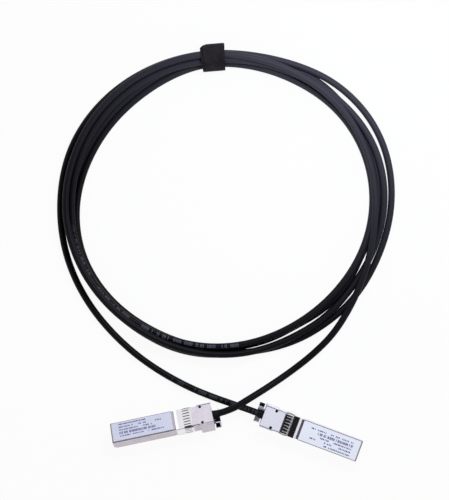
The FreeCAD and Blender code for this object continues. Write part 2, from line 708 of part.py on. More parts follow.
def crimp_ferrule():
    """Crimped ring with grooves, clamped between the shells."""
    ring = turned([
        (FERRULE_REAR, CABLE_R + CABLE_CLEARANCE), (FERRULE_REAR, FERRULE_R),
        (FERRULE_FRONT, FERRULE_R), (FERRULE_FRONT, CABLE_R + CABLE_CLEARANCE),
    ])
    pitch = FERRULE_L / (FERRULE_GROOVES + 1)
    grooves = []
    for index in range(FERRULE_GROOVES):
        x = FERRULE_REAR + (index + 1) * pitch
        outer = rod_x(x - pitch / 6, x + pitch / 6, FERRULE_R + OVERCUT)
        grooves.append(outer.cut(rod_x(x - pitch, x + pitch, FERRULE_R - FERRULE_GROOVE_D)))
    return ring.cut(grooves)


# ================================================================ cable
def tube(points, radius):
    """Round tube on straight runs and tangent arcs; returns its solid, radii and length."""
    edges = []
    radii = []
    start = points[0]
    for before, corner, after in zip(points, points[1:], points[2:]):
        back = (before - corner).normalize()
        ahead = (after - corner).normalize()
        turn = math.pi - back.getAngle(ahead)
        reach = ARC_SHARE * min((before - corner).Length, (after - corner).Length)
        bend = reach / math.tan(turn / 2)
        radii.append(bend)
        first = corner + back * reach
        last = corner + ahead * reach
        inward = (back + ahead).normalize()
        middle = corner + inward * (bend / math.cos(turn / 2) - bend)
        edges.append(Part.LineSegment(start, first).toShape())
        edges.append(Part.Arc(first, middle, last).toShape())
        start = last
    edges.append(Part.LineSegment(start, points[-1]).toShape())
    path = Part.Wire(edges)
    circle = Part.makeCircle(radius, points[0], points[1] - points[0])
    solid = path.makePipeShell([Part.Wire(circle)], True, False)
    return solid, radii, path.Length


def lead(placement, straight, points, name):
    """Free lead of one plug, from its ferrule to where it joins the coil."""
    start = placement.multVec(Vector(JACKET_END, 0, CABLE_Z))
    bend = placement.multVec(Vector(-straight, 0, CABLE_Z))
    route = [start, bend] + [Vector(*point) for point in points]
    print(name, "starts", start, bend)
    solid, radii, length = tube(route, CABLE_R)
    expected = math.pi * CABLE_R ** 2 * length
    print(name, "radii", [round(radius, 1) for radius in radii])
    print(name, "length", round(length, 1), "volume ratio", round(solid.Volume / expected, 4))
    return solid


def ring_point(angle_deg, radius, z=0.0):
    """Point at an angle and radius from the coil's centre."""
    angle = math.radians(angle_deg)
    return COIL_CENTRE + Vector(radius * math.cos(angle), radius * math.sin(angle), z)


def closed_arcs(points):
    """Closed chain of arcs, each through three neighbouring points, as a face."""
    arcs = []
    for index in range(0, len(points), 2):
        end = points[(index + 2) % len(points)]
        arcs.append(Part.Arc(points[index], points[index + 1], end).toShape())
    return Part.Face(Part.Wire(arcs))


def in_strap_frame(shape):
    """Moves a shape from the strap's frame (x along the cable, y outwards) to the coil."""
    placed = shape.copy()
    placed.rotate(Vector(0, 0, 0), Z_AXIS, STRAP_ANGLE - 90)
    placed.translate(COIL_CENTRE)
    return placed


def coil_band(height):
    """Upright band with the bundle's inner and outer outlines."""
    outer = closed_arcs([ring_point(a, inner + width) for a, inner, width in COIL_STATIONS])
    inner = closed_arcs([ring_point(a, inner) for a, inner, width in COIL_STATIONS])
    return outer.extrude(Z_AXIS * height).cut(inner.extrude(Z_AXIS * height))


def cable_coil():
    """Coil as one solid of the bundle's outer shape, raised where it runs through the strap."""
    crown_z = STRAP_TOP_Z - STRAP_T - STRAP_CLEARANCE
    rest_z = STRAP_T + STRAP_CLEARANCE
    half = STRAP_WIDTH / 2 + STRAP_CLEARANCE
    far = half + CROWN_SPREAD
    near = half + ARCH_SPREAD
    middle = (STRAP_INNER_R + STRAP_OUTER_R) / 2
    depth = 3 * (STRAP_OUTER_R - STRAP_INNER_R)
    hill = prism_y([
        (-far, 0), (-far, COIL_TOP_Z / 2), (-half, crown_z), (half, crown_z),
        (far, COIL_TOP_Z / 2), (far, 0),
    ], depth, middle)
    arch = prism_y([(-near, 0), (-half, rest_z), (half, rest_z), (near, 0)], depth, middle)
    ring = coil_band(COIL_TOP_Z)
    crown = coil_band(crown_z).common(in_strap_frame(hill))
    return ring.fuse(crown).cut(in_strap_frame(arch)).removeSplitter()


def strap():
    """Hook-and-loop strap: a closed loop round the bundle with its end lapped on top."""
    half = STRAP_WIDTH / 2
    loop = block(-half, half, STRAP_INNER_R, STRAP_OUTER_R, 0, STRAP_TOP_Z)
    along = [edge for edge in loop.Edges if edge.BoundBox.XLength > half]
    loop = loop.makeFillet(STRAP_CORNER_R, along)
    space = block(-half - OVERCUT, half + OVERCUT, STRAP_INNER_R + STRAP_T, STRAP_OUTER_R - STRAP_T,
                  STRAP_T, STRAP_TOP_Z - STRAP_T)
    along = [edge for edge in space.Edges if edge.BoundBox.XLength > half]
    loop = loop.cut(space.makeFillet(STRAP_CORNER_R - STRAP_T, along))
    inner_y = STRAP_INNER_R + STRAP_CORNER_R
    outer_y = STRAP_OUTER_R - STRAP_CORNER_R
    left = -half - FLAP_SHIFT
    right = half - FLAP_SHIFT
    flap = [(left, inner_y), (right, inner_y), (right, outer_y), (left + FLAP_BEVEL, outer_y),
            (left, outer_y - FLAP_BEVEL)]
    loop = loop.fuse(prism_z(flap, STRAP_TOP_Z, STRAP_TOP_Z + FLAP_T))
    return in_strap_frame(loop.removeSplitter())


# ================================================================ assembly
PLUG_PIECES = {
    "housing_base": housing_base,
    "housing_cover": housing_cover,
    "cover_screws": cover_screws,
    "label": label,
    "emi_collar": emi_collar,
    "release_slide": release_slide,
    "latch_arm": latch_arm,
    "latch_pin": latch_pin,
    "leaf_spring": leaf_spring,
    "paddle_card": paddle_card,
    "card_contacts": card_contacts,
    "memory_chip": memory_chip,
    "capacitors": capacitors,
    "wire_pairs": wire_pairs,
    "crimp_ferrule": crimp_ferrule,
    "cable_boot": cable_boot,
}


def plug_placement(exit_xy, yaw_deg, roll_deg):
    """Lays a plug down: rolled about its own axis, turned in plan, lowest edge on z = 0."""
    roll = math.radians(abs(roll_deg))
    corner = BLOCK_W / 2 - BLOCK_EDGE_R
    lift = BLOCK_EDGE_R + corner * math.sin(roll) - BLOCK_EDGE_R * math.cos(roll)
    turn = FreeCAD.Rotation(Z_AXIS, yaw_deg).multiply(FreeCAD.Rotation(X_AXIS, roll_deg))
    axis = turn.multVec(Vector(0, 0, CABLE_Z))
    return FreeCAD.Placement(Vector(exit_xy[0] - axis.x, exit_xy[1] - axis.y, lift), turn)


def export(shape, node):
    """Writes one node."""
    shape.exportStep("parts/" + node + ".step")


def main():
    """Builds every piece once, lays it down for both plugs and adds the cable."""
    os.makedirs("parts", exist_ok=True)
    placements = {
        "a": plug_placement(PLUG_A_EXIT, PLUG_A_YAW, PLUG_A_ROLL),
        "b": plug_placement(PLUG_B_EXIT, PLUG_B_YAW, PLUG_B_ROLL),
    }
    for name, make in PLUG_PIECES.items():
        piece = make()
        for end, placement in placements.items():
            placed = piece.copy()
            placed.Placement = placement
            export(placed, name + "_" + end)
    leads = {
        "cable_lead_a": (placements["a"], LEAD_A_STRAIGHT, LEAD_A_POINTS),
        "cable_lead_b": (placements["b"], LEAD_B_STRAIGHT, LEAD_B_POINTS),
    }
    for node, (placement, straight, points) in leads.items():
        export(lead(placement, straight, points, node), node)
    export(cable_coil(), "cable_coil")
    export(strap(), "strap")


main()
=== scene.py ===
"""Looks of a direct attach copper cable: a coiled twin-axial cable with a pluggable end on each side."""

import logging
import math
from dataclasses import dataclass, field
from enum import Enum
from functools import lru_cache
from typing import Dict, List, Sequence, Tuple

import bpy
import numpy as np
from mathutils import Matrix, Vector

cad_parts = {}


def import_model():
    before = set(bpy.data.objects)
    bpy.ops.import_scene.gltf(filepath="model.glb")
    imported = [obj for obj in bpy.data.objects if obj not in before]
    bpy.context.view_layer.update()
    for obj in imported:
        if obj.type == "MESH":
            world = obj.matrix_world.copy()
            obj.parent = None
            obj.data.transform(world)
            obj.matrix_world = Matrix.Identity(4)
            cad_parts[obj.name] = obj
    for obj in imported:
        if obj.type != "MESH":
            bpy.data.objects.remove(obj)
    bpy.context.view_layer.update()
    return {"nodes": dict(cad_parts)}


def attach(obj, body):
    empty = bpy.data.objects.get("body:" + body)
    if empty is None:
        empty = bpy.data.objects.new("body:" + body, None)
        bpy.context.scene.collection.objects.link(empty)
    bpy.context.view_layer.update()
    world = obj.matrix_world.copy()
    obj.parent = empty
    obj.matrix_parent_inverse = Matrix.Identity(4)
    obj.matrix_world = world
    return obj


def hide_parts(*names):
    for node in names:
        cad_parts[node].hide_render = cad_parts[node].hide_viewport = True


LOG = logging.getLogger("copper_cable")
MM = 0.001
Colour = Tuple[float, float, float]
Point = Tuple[float, float, float]
Point2 = Tuple[float, float]
Socket = bpy.types.NodeSocket

FLOAT = "NodeSocketFloat"
VECTOR = "NodeSocketVector"
# Numbers of the colour sockets on a Mix node, which has a set of sockets for each kind of value.
MIX_FACTOR, MIX_FIRST, MIX_SECOND, MIX_RESULT = 0, 6, 7, 2
UV_RUN = "run"
COAT_ROUGH = 0.3


def linear(r: int, g: int, b: int) -> Colour:
    """Turn an 8-bit display colour into a linear one.

    Args:
        r: Red, 0 to 255.
        g: Green, 0 to 255.
        b: Blue, 0 to 255.

    Returns:
        The linear colour, by the standard display curve.
    """
    out = []
    for channel in (r, g, b):
        c = channel / 255.0
        out.append(c / 12.92 if c <= 0.04045 else ((c + 0.055) / 1.055) ** 2.4)
    return (out[0], out[1], out[2])


def put_in_scene(name: str, data: bpy.types.ID) -> bpy.types.Object:
    """Make an object of some data and put it in the scene.

    Args:
        name: The object's name.
        data: Its mesh, curve, lamp or camera.

    Returns:
        The object.
    """
    obj = bpy.data.objects.new(name, data)
    bpy.context.scene.collection.objects.link(obj)
    return obj


# Painted shade: dark shadow lines along the lid seam, the groove's edge, the tip and the label's rim.
EDGE_SHADE = linear(96, 90, 96)
# Painted shade on the part of the slide that lies in shadow.
EAR_SHADE = linear(16, 16, 18)


class MeshKit:
    """Turns whole arrays of points and faces into Blender meshes."""

    @staticmethod
    def from_arrays(name: str, verts: np.ndarray, quads: np.ndarray, smooth: bool = True) -> bpy.types.Object:
        """Build an object from an array of points and an array of four-cornered faces.

        Args:
            name: The piece's name.
            verts: Points, one row each, in metres.
            quads: Corner numbers, four to a row; a repeated last corner marks a triangle.
            smooth: Whether the faces are smooth shaded.

        Returns:
            The new object, at the origin.
        """
        mesh = bpy.data.meshes.new(name)
        faces = [tuple(row[:3]) if row[2] == row[3] else tuple(row) for row in quads.tolist()]
        mesh.from_pydata(verts.reshape(-1, 3).tolist(), [], faces)
        mesh.polygons.foreach_set("use_smooth", np.full(len(mesh.polygons), smooth))
        mesh.update()
        return put_in_scene(name, mesh)

    @staticmethod
    def grid_quads(rows: int, cols: int, wrap_cols: bool = False) -> np.ndarray:
        """Faces of a grid of points: each joins a point to the next in its row and in its column.

        Args:
            rows: Number of rows.
            cols: Number of points in a row.
            wrap_cols: Whether each row's last point joins its first.

        Returns:
            Corner numbers, four to a row.
        """
        j = np.arange(cols if wrap_cols else cols - 1)
        row, col = np.meshgrid(np.arange(rows - 1), j, indexing="ij")
        beside = (col + 1) % cols
        here, above = row * cols, (row + 1) * cols
        return np.stack([here + col, here + beside, above + beside, above + col], axis=-1).reshape(-1, 4)

    @staticmethod
    def add_uv(obj: bpy.types.Object, uv: np.ndarray) -> None:
        """Give a mesh a UV map from one pair of values per face corner.

        Args:
            obj: The piece.
            uv: Values for every corner, in the mesh's corner order.
        """
        layer = obj.data.uv_layers.new(name=UV_RUN)
        layer.data.foreach_set("uv", np.ascontiguousarray(uv, dtype=np.float32).ravel())


class NodeTree:
    """A short way to add and join shader nodes."""

    def __init__(self, tree: bpy.types.NodeTree) -> None:
        """Keep the tree that nodes are added to."""
        self.tree = tree

    @classmethod
    def of(cls, owner: bpy.types.Material | bpy.types.World) -> "NodeTree":
        """Clear the nodes of a material or a world, ready for new ones.

        Args:
            owner: The material or world.

        Returns:
            Its empty tree.
        """
        owner.use_nodes = True
        owner.node_tree.nodes.clear()
        return cls(owner.node_tree)

    def add(self, kind: str, inputs: Dict[str, object] | None = None, **settings: object) -> bpy.types.Node:
        """Add a node, set its properties, and set or link its inputs.

        Args:
            kind: Blender's type name of the node.
            inputs: Values or sockets by the input's name or number.
            **settings: Properties of the node itself.

        Returns:
            The node.
        """
        node = self.tree.nodes.new(kind)
        for key, value in settings.items():
            setattr(node, key, value)
        for key, value in (inputs or {}).items():
            socket = node.inputs[key]
            if isinstance(value, Socket):
                self.tree.links.new(value, socket)
            else:
                socket.default_value = value
        return node

    def math(self, op: str, a: object, b: object = 0.0, c: object = 0.0, clamp: bool = False) -> Socket:
        """Add a Math node and return its value.

        Args:
            op: Blender's name of the operation.
            a: First value or socket.
            b: Second value or socket.
            c: Third value or socket.
            clamp: Whether the result is kept between 0 and 1.

        Returns:
            The result socket.
        """
        node = self.add("ShaderNodeMath", {0: a, 1: b, 2: c}, operation=op, use_clamp=clamp)
        return node.outputs[0]

    def mix(self, factor: object, a: object, b: object) -> Socket:
        """Mix two colours.

        Args:
            factor: Share of the second colour.
            a: First colour or socket.
            b: Second colour or socket.

        Returns:
            The mixed colour socket.
        """
        first, second = (v if isinstance(v, Socket) else (*v, 1.0) for v in (a, b))
        values = {MIX_FACTOR: factor, MIX_FIRST: first, MIX_SECOND: second}
        node = self.add("ShaderNodeMix", values, data_type="RGBA")
        return node.outputs[MIX_RESULT]

    def ramp(self, value: object, low: float, high: float, first: float = 0.0, last: float = 1.0) -> Socket:
        """Stretch a value so that low becomes the first result and high the last, kept between them.

        Args:
            value: The value or socket.
            low: Where the result is the first.
            high: Where the result is the last.
            first: Result at the low end.
            last: Result at the high end.

        Returns:
            The result socket.
        """
        return self.add("ShaderNodeMapRange", {0: value, 1: low, 2: high, 3: first, 4: last}).outputs[0]

    def noise(self, vector: Socket, scale: object, detail: float = 2.0) -> Socket:
        """Add a noise.

        Args:
            vector: Where it is read.
            scale: Its scale or a socket.
            detail: How many finer layers it has.

        Returns:
            Its value socket.
        """
        return self.add("ShaderNodeTexNoise", {"Vector": vector, "Scale": scale, "Detail": detail}).outputs[0]

    def split(self, vector: Socket) -> List[Socket]:
        """Take a vector apart.

        Args:
            vector: The vector.

        Returns:
            Its three values.
        """
        return list(self.add("ShaderNodeSeparateXYZ", {0: vector}).outputs)


class Groups:
    """Effects that several finishes share, each a node group that is built once."""

    # The stretch of a noise's own values that becomes 0 to 1.
    MIDDLE = (0.3, 0.7)

    @staticmethod
    def _new(name: str, scales: Dict[str, float]) -> bpy.types.NodeTree:
        """Make an empty group that takes a vector and some scales and puts out a mask.

        Args:
            name: The group's name.
            scales: First value of each scale, by name.

        Returns:
            The group's tree.
        """
        tree = bpy.data.node_groups.new(name, "ShaderNodeTree")
        tree.interface.new_socket(name="Vector", in_out="INPUT", socket_type=VECTOR)
        for label, value in scales.items():
            tree.interface.new_socket(name=label, in_out="INPUT", socket_type=FLOAT).default_value = value
        tree.interface.new_socket(name="Mask", in_out="OUTPUT", socket_type=FLOAT)
        return tree

    @classmethod
    @lru_cache(maxsize=None)
    def mottle(cls) -> bpy.types.NodeTree:
        """Slow and fine variation over a surface: two noises added, one coarse and one fine.

        Returns:
            The group, which puts out a mask from 0 to 1.
        """
        tree = cls._new("mottle", {"Coarse": 80.0, "Fine": 900.0})
        n = NodeTree(tree)
        given = n.add("NodeGroupInput").outputs
        coarse = n.noise(given["Vector"], given["Coarse"], 3.0)
        fine = n.noise(given["Vector"], given["Fine"])
        total = n.math("ADD", n.math("MULTIPLY", coarse, 0.6), n.math("MULTIPLY", fine, 0.4))
        n.add("NodeGroupOutput", {"Mask": n.ramp(total, *cls.MIDDLE)})
        return tree

    @classmethod
    @lru_cache(maxsize=None)
    def brushed(cls) -> bpy.types.NodeTree:
        """Fine lines along one direction: a noise stretched along the first axis.

        Returns:
            The group, which puts out a mask from 0 to 1.
        """
        tree = cls._new("brushed", {"Along": 60.0, "Across": 2500.0})
        n = NodeTree(tree)
        given = n.add("NodeGroupInput").outputs
        scale = n.add("ShaderNodeCombineXYZ", {0: given["Along"], 1: given["Across"], 2: given["Across"]})
        stretch = {0: given["Vector"], 1: scale.outputs[0]}
        stretched = n.add("ShaderNodeVectorMath", stretch, operation="MULTIPLY").outputs[0]
        n.add("NodeGroupOutput", {"Mask": n.ramp(n.noise(stretched, 1.0), *cls.MIDDLE)})
        return tree


@dataclass(frozen=True)
class Placement:
    """Where a plug lies: its own origin, its turn in plan, and its roll about its length.

    Attributes:
        origin: The plug's origin, in metres.
        yaw: Turn in plan, in degrees.
        roll: Roll about its length, in degrees.
    """

    origin: Point
    yaw: float
    roll: float

    def put(self, points: np.ndarray) -> np.ndarray:
        """Lay the plug's own points down: rolled about x, turned about z, then moved to the origin.

        Args:
            points: Points in the plug's own frame, one row each, in metres.

        Returns:
            Points in the part's frame.
        """
        a, b = math.radians(self.yaw), math.radians(self.roll)
        roll = np.array([[1, 0, 0], [0, math.cos(b), -math.sin(b)], [0, math.sin(b), math.cos(b)]])
        yaw = np.array([[math.cos(a), -math.sin(a), 0], [math.sin(a), math.cos(a), 0], [0, 0, 1]])
        return points @ (yaw @ roll).T + np.array(self.origin)

    def own(self, n: NodeTree, coords: Socket) -> Socket:
        """Give a material the plug's own coordinates.

        Args:
            n: The material's nodes.
            coords: Object coordinates.

        Returns:
            The coordinates along, across and up the plug, in metres.
        """
        turn = (math.radians(self.roll), 0.0, math.radians(self.yaw))
        place = {"Vector": coords, "Location": self.origin, "Rotation": turn}
        return n.add("ShaderNodeMapping", place, vector_type="TEXTURE").outputs[0]


@dataclass(frozen=True)
class Stripe:
    """A strip of a surface with its own colour and roughness, between two places on one of the plug's axes;
    most stripes are painted shade and painted light.

    Attributes:
        axis: 0 along the plug, 1 across it, 2 up it.
        low: Where it begins, in millimetres.
        high: Where it ends.
        colour: Its colour.
        rough: Its roughness.
        soft: Width of its edges, in millimetres.
        share: How fully it covers what lies under it.
    """

    axis: int
    low: float
    high: float
    colour: Colour
    rough: float
    soft: float = 0.15
    share: float = 1.0


@dataclass(frozen=True)
class Finish:
    """A surface: its two colours, its gloss, and how much it varies.

    Attributes:
        name: The finish in plain words.
        light: Colour where the variation is high.
        dark: Colour where the variation is low.
        metallic: 1 for metal, 0 otherwise.
        rough: Lowest and highest roughness.
        coarse: Scale of the slow variation, per metre.
        fine: Scale of the fine variation, per metre.
        bump: Height of the relief in metres.
        coat: Weight of a clear coat.
        sheen: Weight of the fibres' sheen.
        specular: Level of the plain gloss.
        place: Where the plug that wears it lies, so that its pattern lies square to the plug.
        brushed: Whether the relief is fine lines.
        stripes: Strips with their own colour and roughness, most of them painted shade and painted light.
    """

    name: str
    light: Colour
    dark: Colour
    metallic: float = 0.0
    rough: Tuple[float, float] = (0.4, 0.5)
    coarse: float = 90.0
    fine: float = 1400.0
    bump: float = 0.00002
    coat: float = 0.0
    sheen: float = 0.0
    specular: float = 0.5
    place: Placement | None = None
    brushed: bool = False
    stripes: Tuple[Stripe, ...] = ()

    def material(self) -> bpy.types.Material:
        """Build the material: variation drives colour, roughness and relief.

        Returns:
            The material.
        """
        mat = bpy.data.materials.new(self.name)
        n = NodeTree.of(mat)
        coords = n.add("ShaderNodeTexCoord").outputs["Object"]
        if self.place:
            coords = self.place.own(n, coords)
        scales = {"Vector": coords, "Coarse": self.coarse, "Fine": self.fine}
        mask = n.add("ShaderNodeGroup", scales, node_tree=Groups.mottle()).outputs[0]
        relief = mask
        if self.brushed:
            relief = n.add("ShaderNodeGroup", {"Vector": coords}, node_tree=Groups.brushed()).outputs[0]
            mask = n.math("MULTIPLY_ADD", relief, 0.5, n.math("MULTIPLY", mask, 0.5))
        colour = n.mix(mask, self.dark, self.light)
        rough = n.ramp(mask, 0.0, 1.0, self.rough[1], self.rough[0])
        # Stripes lay painted shade and painted light, and the collar's turned band, over the mottled finish.
        for stripe in self.stripes:
            band = self._band(n, coords, stripe)
            colour = n.mix(band, colour, stripe.colour)
            change = n.math("SUBTRACT", stripe.rough, rough)
            rough = n.math("MULTIPLY_ADD", band, change, rough)
        bump = n.add("ShaderNodeBump", {"Height": relief, "Distance": self.bump, "Strength": 1.0})
        shader = n.add("ShaderNodeBsdfPrincipled", {
            "Base Color": colour, "Roughness": rough, "Metallic": self.metallic, "Normal": bump.outputs[0],
            "Coat Weight": self.coat, "Coat Roughness": COAT_ROUGH, "Sheen Weight": self.sheen,
            "Specular IOR Level": self.specular,
        })
        n.add("ShaderNodeOutputMaterial", {0: shader.outputs[0]})
        return mat

    @staticmethod
    def _band(n: NodeTree, coords: Socket, stripe: Stripe) -> Socket:
        """Mask of a stripe: how far inside its first edge, times how far inside its last.

        Args:
            n: The material's nodes.
            coords: The plug's own coordinates.
            stripe: The stripe.

        Returns:
            The mask, 1 inside.
        """
        value = n.split(coords)[stripe.axis]
        rise = n.ramp(value, (stripe.low - stripe.soft) * MM, (stripe.low + stripe.soft) * MM)
        fall = n.ramp(value, (stripe.high + stripe.soft) * MM, (stripe.high - stripe.soft) * MM)
        return n.math("MULTIPLY", n.math("MULTIPLY", rise, fall), stripe.share)


class CoilRoute:
    """The line that the cable lies on: from one plug, round five turns, to the other plug.

    Attributes:
        centre: The coil's centre, in millimetres.
        radius: Half the cable's diameter, in millimetres.
        first: Angle of the first station, in degrees.
        last: Angle of the last station.
        step: Angle from one station to the next.
        tie_angle: Where the strap lifts the bundle.
        tie_lift: How far it lifts it, in millimetres.
        tie_spread: How far to each side the lift runs out, in degrees.
        edges: Angles at which the line passes from one turn to the next.
        order: How each stretch between them lies on the others, 0 for the lowest.
        lead_a: From the first plug to the coil, in millimetres.
        lead_b: From the coil to the second plug, in millimetres.
        lanes: Angle round the coil and distance from its centre, in degrees and millimetres.
    """

    centre: Point2 = (-7.66, 140.93)
    radius: float = 2.1
    first: float = 310.0
    last: float = 2040.0
    step: float = 10.0
    tie_angle: float = 94.6
    tie_lift: float = 1.4
    tie_spread: float = 9.0
    edges: Tuple[float, ...] = (360.0, 720.0, 1080.0, 1440.0, 1800.0)
    order: Tuple[int, ...] = (5, 4, 3, 0, 1, 2)
    lead_a: List[Point] = [
        (-19.311, 9.469, 9.657), (-5.411, 12.373, 9.657), (7.64, 20.23, 9.2),
        (20.94, 28.13, 5.6), (34.14, 36.83, 2.6), (47.54, 47.23, 2.6),
    ]
    lead_b: List[Point] = [
        (-45.66, 35.43, 2.15), (-28.26, 26.23, 2.15), (-14.26, 20.63, 2.25),
        (-1.66, 16.33, 3.1), (9.515, 12.857, 7.0), (20.942, 8.584, 7.0),
    ]
    lanes: List[Point2] = [
        (300, 109.6), (310, 105.3), (320, 101.1), (330, 97.8), (340, 95.5), (350, 93.9), (360, 93.6),
        (380, 93.8), (400, 93.2), (420, 91.7), (440, 91.3), (460, 92.5), (480, 93.9), (490, 94.9),
        (500, 95.7), (520, 96.8), (540, 97.9), (560, 96.7), (580, 94.8), (600, 93.6), (620, 93.5),
        (640, 93.2), (660, 92.9), (670, 93.9), (680, 94.4), (690, 94.9), (700, 96.6), (710, 98.1),
        (720, 99.3), (740, 99.6), (750, 98.2), (760, 96.1), (770, 94.2), (780, 91.6), (800, 89.4),
        (820, 88.6), (840, 90.1), (850, 91.0), (860, 91.8), (880, 93.2), (900, 94.3), (920, 94.8),
        (940, 93.3), (960, 90.8), (980, 89.3), (1000, 87.7), (1020, 86.8), (1030, 87.1), (1040, 87.8),
        (1050, 88.9), (1060, 90.2), (1070, 91.4), (1080, 92.3), (1100, 92.7), (1120, 91.1), (1140, 88.2),
        (1160, 87.1), (1180, 87.0), (1190, 85.9), (1200, 85.0), (1210, 84.8), (1220, 85.4), (1240, 87.9),
        (1260, 91.5), (1280, 93.3), (1300, 92.1), (1320, 90.2), (1340, 90.0), (1360, 89.0), (1370, 88.5),
        (1380, 87.7), (1390, 89.3), (1400, 91.0), (1410, 91.2), (1420, 91.0), (1430, 94.0), (1440, 96.1),
        (1460, 97.0), (1480, 96.2), (1490, 96.1), (1500, 95.1), (1510, 92.8), (1520, 91.4), (1540, 90.6),
        (1550, 89.8), (1560, 88.9), (1570, 88.6), (1580, 89.2), (1600, 91.6), (1620, 95.8), (1640, 97.2),
        (1660, 95.2), (1680, 94.6), (1690, 94.9), (1700, 94.5), (1710, 93.4), (1720, 93.1), (1730, 94.6),
        (1740, 96.2), (1750, 97.4), (1760, 99.15), (1780, 101.0), (1790, 102.5), (1800, 104.0), (1810, 105.1),
        (1820, 105.6), (1830, 105.0), (1840, 103.3), (1850, 100.8), (1860, 97.4), (1870, 94.7), (1880, 93.2),
        (1900, 93.4), (1920, 95.6), (1940, 98.5), (1960, 101.1), (1980, 101.7), (2000, 103.0), (2020, 104.6),
        (2030, 106.0), (2040, 108.4), (2050, 112.1),
    ]

    def _rank(self, angle: np.ndarray) -> np.ndarray:
        """Say for each station how its turn lies on the others.

        Args:
            angle: Angle from the start, in degrees.

        Returns:
            The place in the order, 0 for the strand that lies lowest.
        """
        return np.array(self.order)[np.searchsorted(self.edges, angle, side="right")]

    def stations(self) -> np.ndarray:
        """Work out the coil's stations: angle, radius and settled height.

        A strand settles on those below it: its height over a lower one is the other leg of a right triangle
        whose long side is the cable's diameter and whose short side is the distance between the two in plan.

        Returns:
            Points of the coil, one row each, in millimetres.
        """
        rows = np.array(self.lanes)
        angle = np.arange(self.first, self.last + self.step / 2, self.step)
        radius = self._smooth(rows[:, 0], rows[:, 1], angle)
        rank = self._rank(angle)
        height = np.full(angle.shape, self.radius)
        for level in range(len(self.order)):
            here = np.flatnonzero(rank == level)
            for low in range(level):
                below = np.flatnonzero(rank == low)
                apart = np.abs(angle[here][:, None] - angle[below][None, :]) % 360.0
                same = np.minimum(apart, 360.0 - apart) < self.step / 2
                side = radius[here][:, None] - radius[below][None, :]
                leg = np.sqrt(np.clip((2 * self.radius) ** 2 - side ** 2, 0.0, None))
                top = np.where(same & (leg > 0), height[below][None, :] + leg, 0.0)
                height[here] = np.maximum(height[here], top.max(axis=1, initial=0.0))
        away = np.abs((angle - self.tie_angle + 180.0) % 360.0 - 180.0)
        height = height + self.tie_lift * np.exp(-((away / self.tie_spread) ** 2))
        for _ in range(2):
            padded = np.pad(height, 1, mode="edge")
            height = 0.25 * padded[:-2] + 0.5 * padded[1:-1] + 0.25 * padded[2:]
        # A curve of second degree runs inside its stations, so they stand out by as much.
        grow = 1.0 / (0.75 + 0.25 * math.cos(math.radians(self.step)))
        turn = np.radians(angle)
        x = self.centre[0] + radius * grow * np.cos(turn)
        y = self.centre[1] + radius * grow * np.sin(turn)
        return np.stack([x, y, height], axis=-1)

    @staticmethod
    def _smooth(x: np.ndarray, y: np.ndarray, at: np.ndarray) -> np.ndarray:
        """Read a smooth line through stations: a cubic between each two, with slopes from their neighbours.

        Args:
            x: Station positions, rising.
            y: Station values.
            at: Positions to read.

        Returns:
            The values there.
        """
        slope = np.gradient(y, x)
        i = np.clip(np.searchsorted(x, at, side="right") - 1, 0, len(x) - 2)
        h = x[i + 1] - x[i]
        t = (at - x[i]) / h
        a = (1 + 2 * t) * (1 - t) ** 2
        b = t * (1 - t) ** 2 * h
        c = t ** 2 * (3 - 2 * t)
        d = t ** 2 * (t - 1) * h
        return a * y[i] + b * slope[i] + c * y[i + 1] + d * slope[i + 1]

    def curve(self) -> bpy.types.Object:
        """Make the route's spline from the leads' points and the coil's stations.

        Returns:
            The curve object, with no thickness.
        """
        points = np.vstack([np.array(self.lead_a), self.stations(), np.array(self.lead_b)]) * MM
        data = bpy.data.curves.new("cable_route", "CURVE")
        data.dimensions = "3D"
        data.resolution_u = 6
        spline = data.splines.new("NURBS")
        spline.points.add(len(points) - 1)
        spline.points.foreach_set("co", np.hstack([points, np.ones((len(points), 1))]).ravel())
        spline.order_u = 3
        spline.use_endpoint_u = True
        return put_in_scene("cable_route", data)

    def line(self) -> np.ndarray:
        """Read the points that the spline gives, and put the route's curve away.

        Returns:
            Points in metres, one row each.
        """
        obj = self.curve()
        bpy.context.view_layer.update()
        mesh = bpy.data.meshes.new_from_object(obj.evaluated_get(bpy.context.evaluated_depsgraph_get()))
        out = np.empty(len(mesh.vertices) * 3)
        mesh.vertices.foreach_get("co", out)
        bpy.data.meshes.remove(mesh)
        bpy.data.objects.remove(obj)
        return out.reshape(-1, 3)


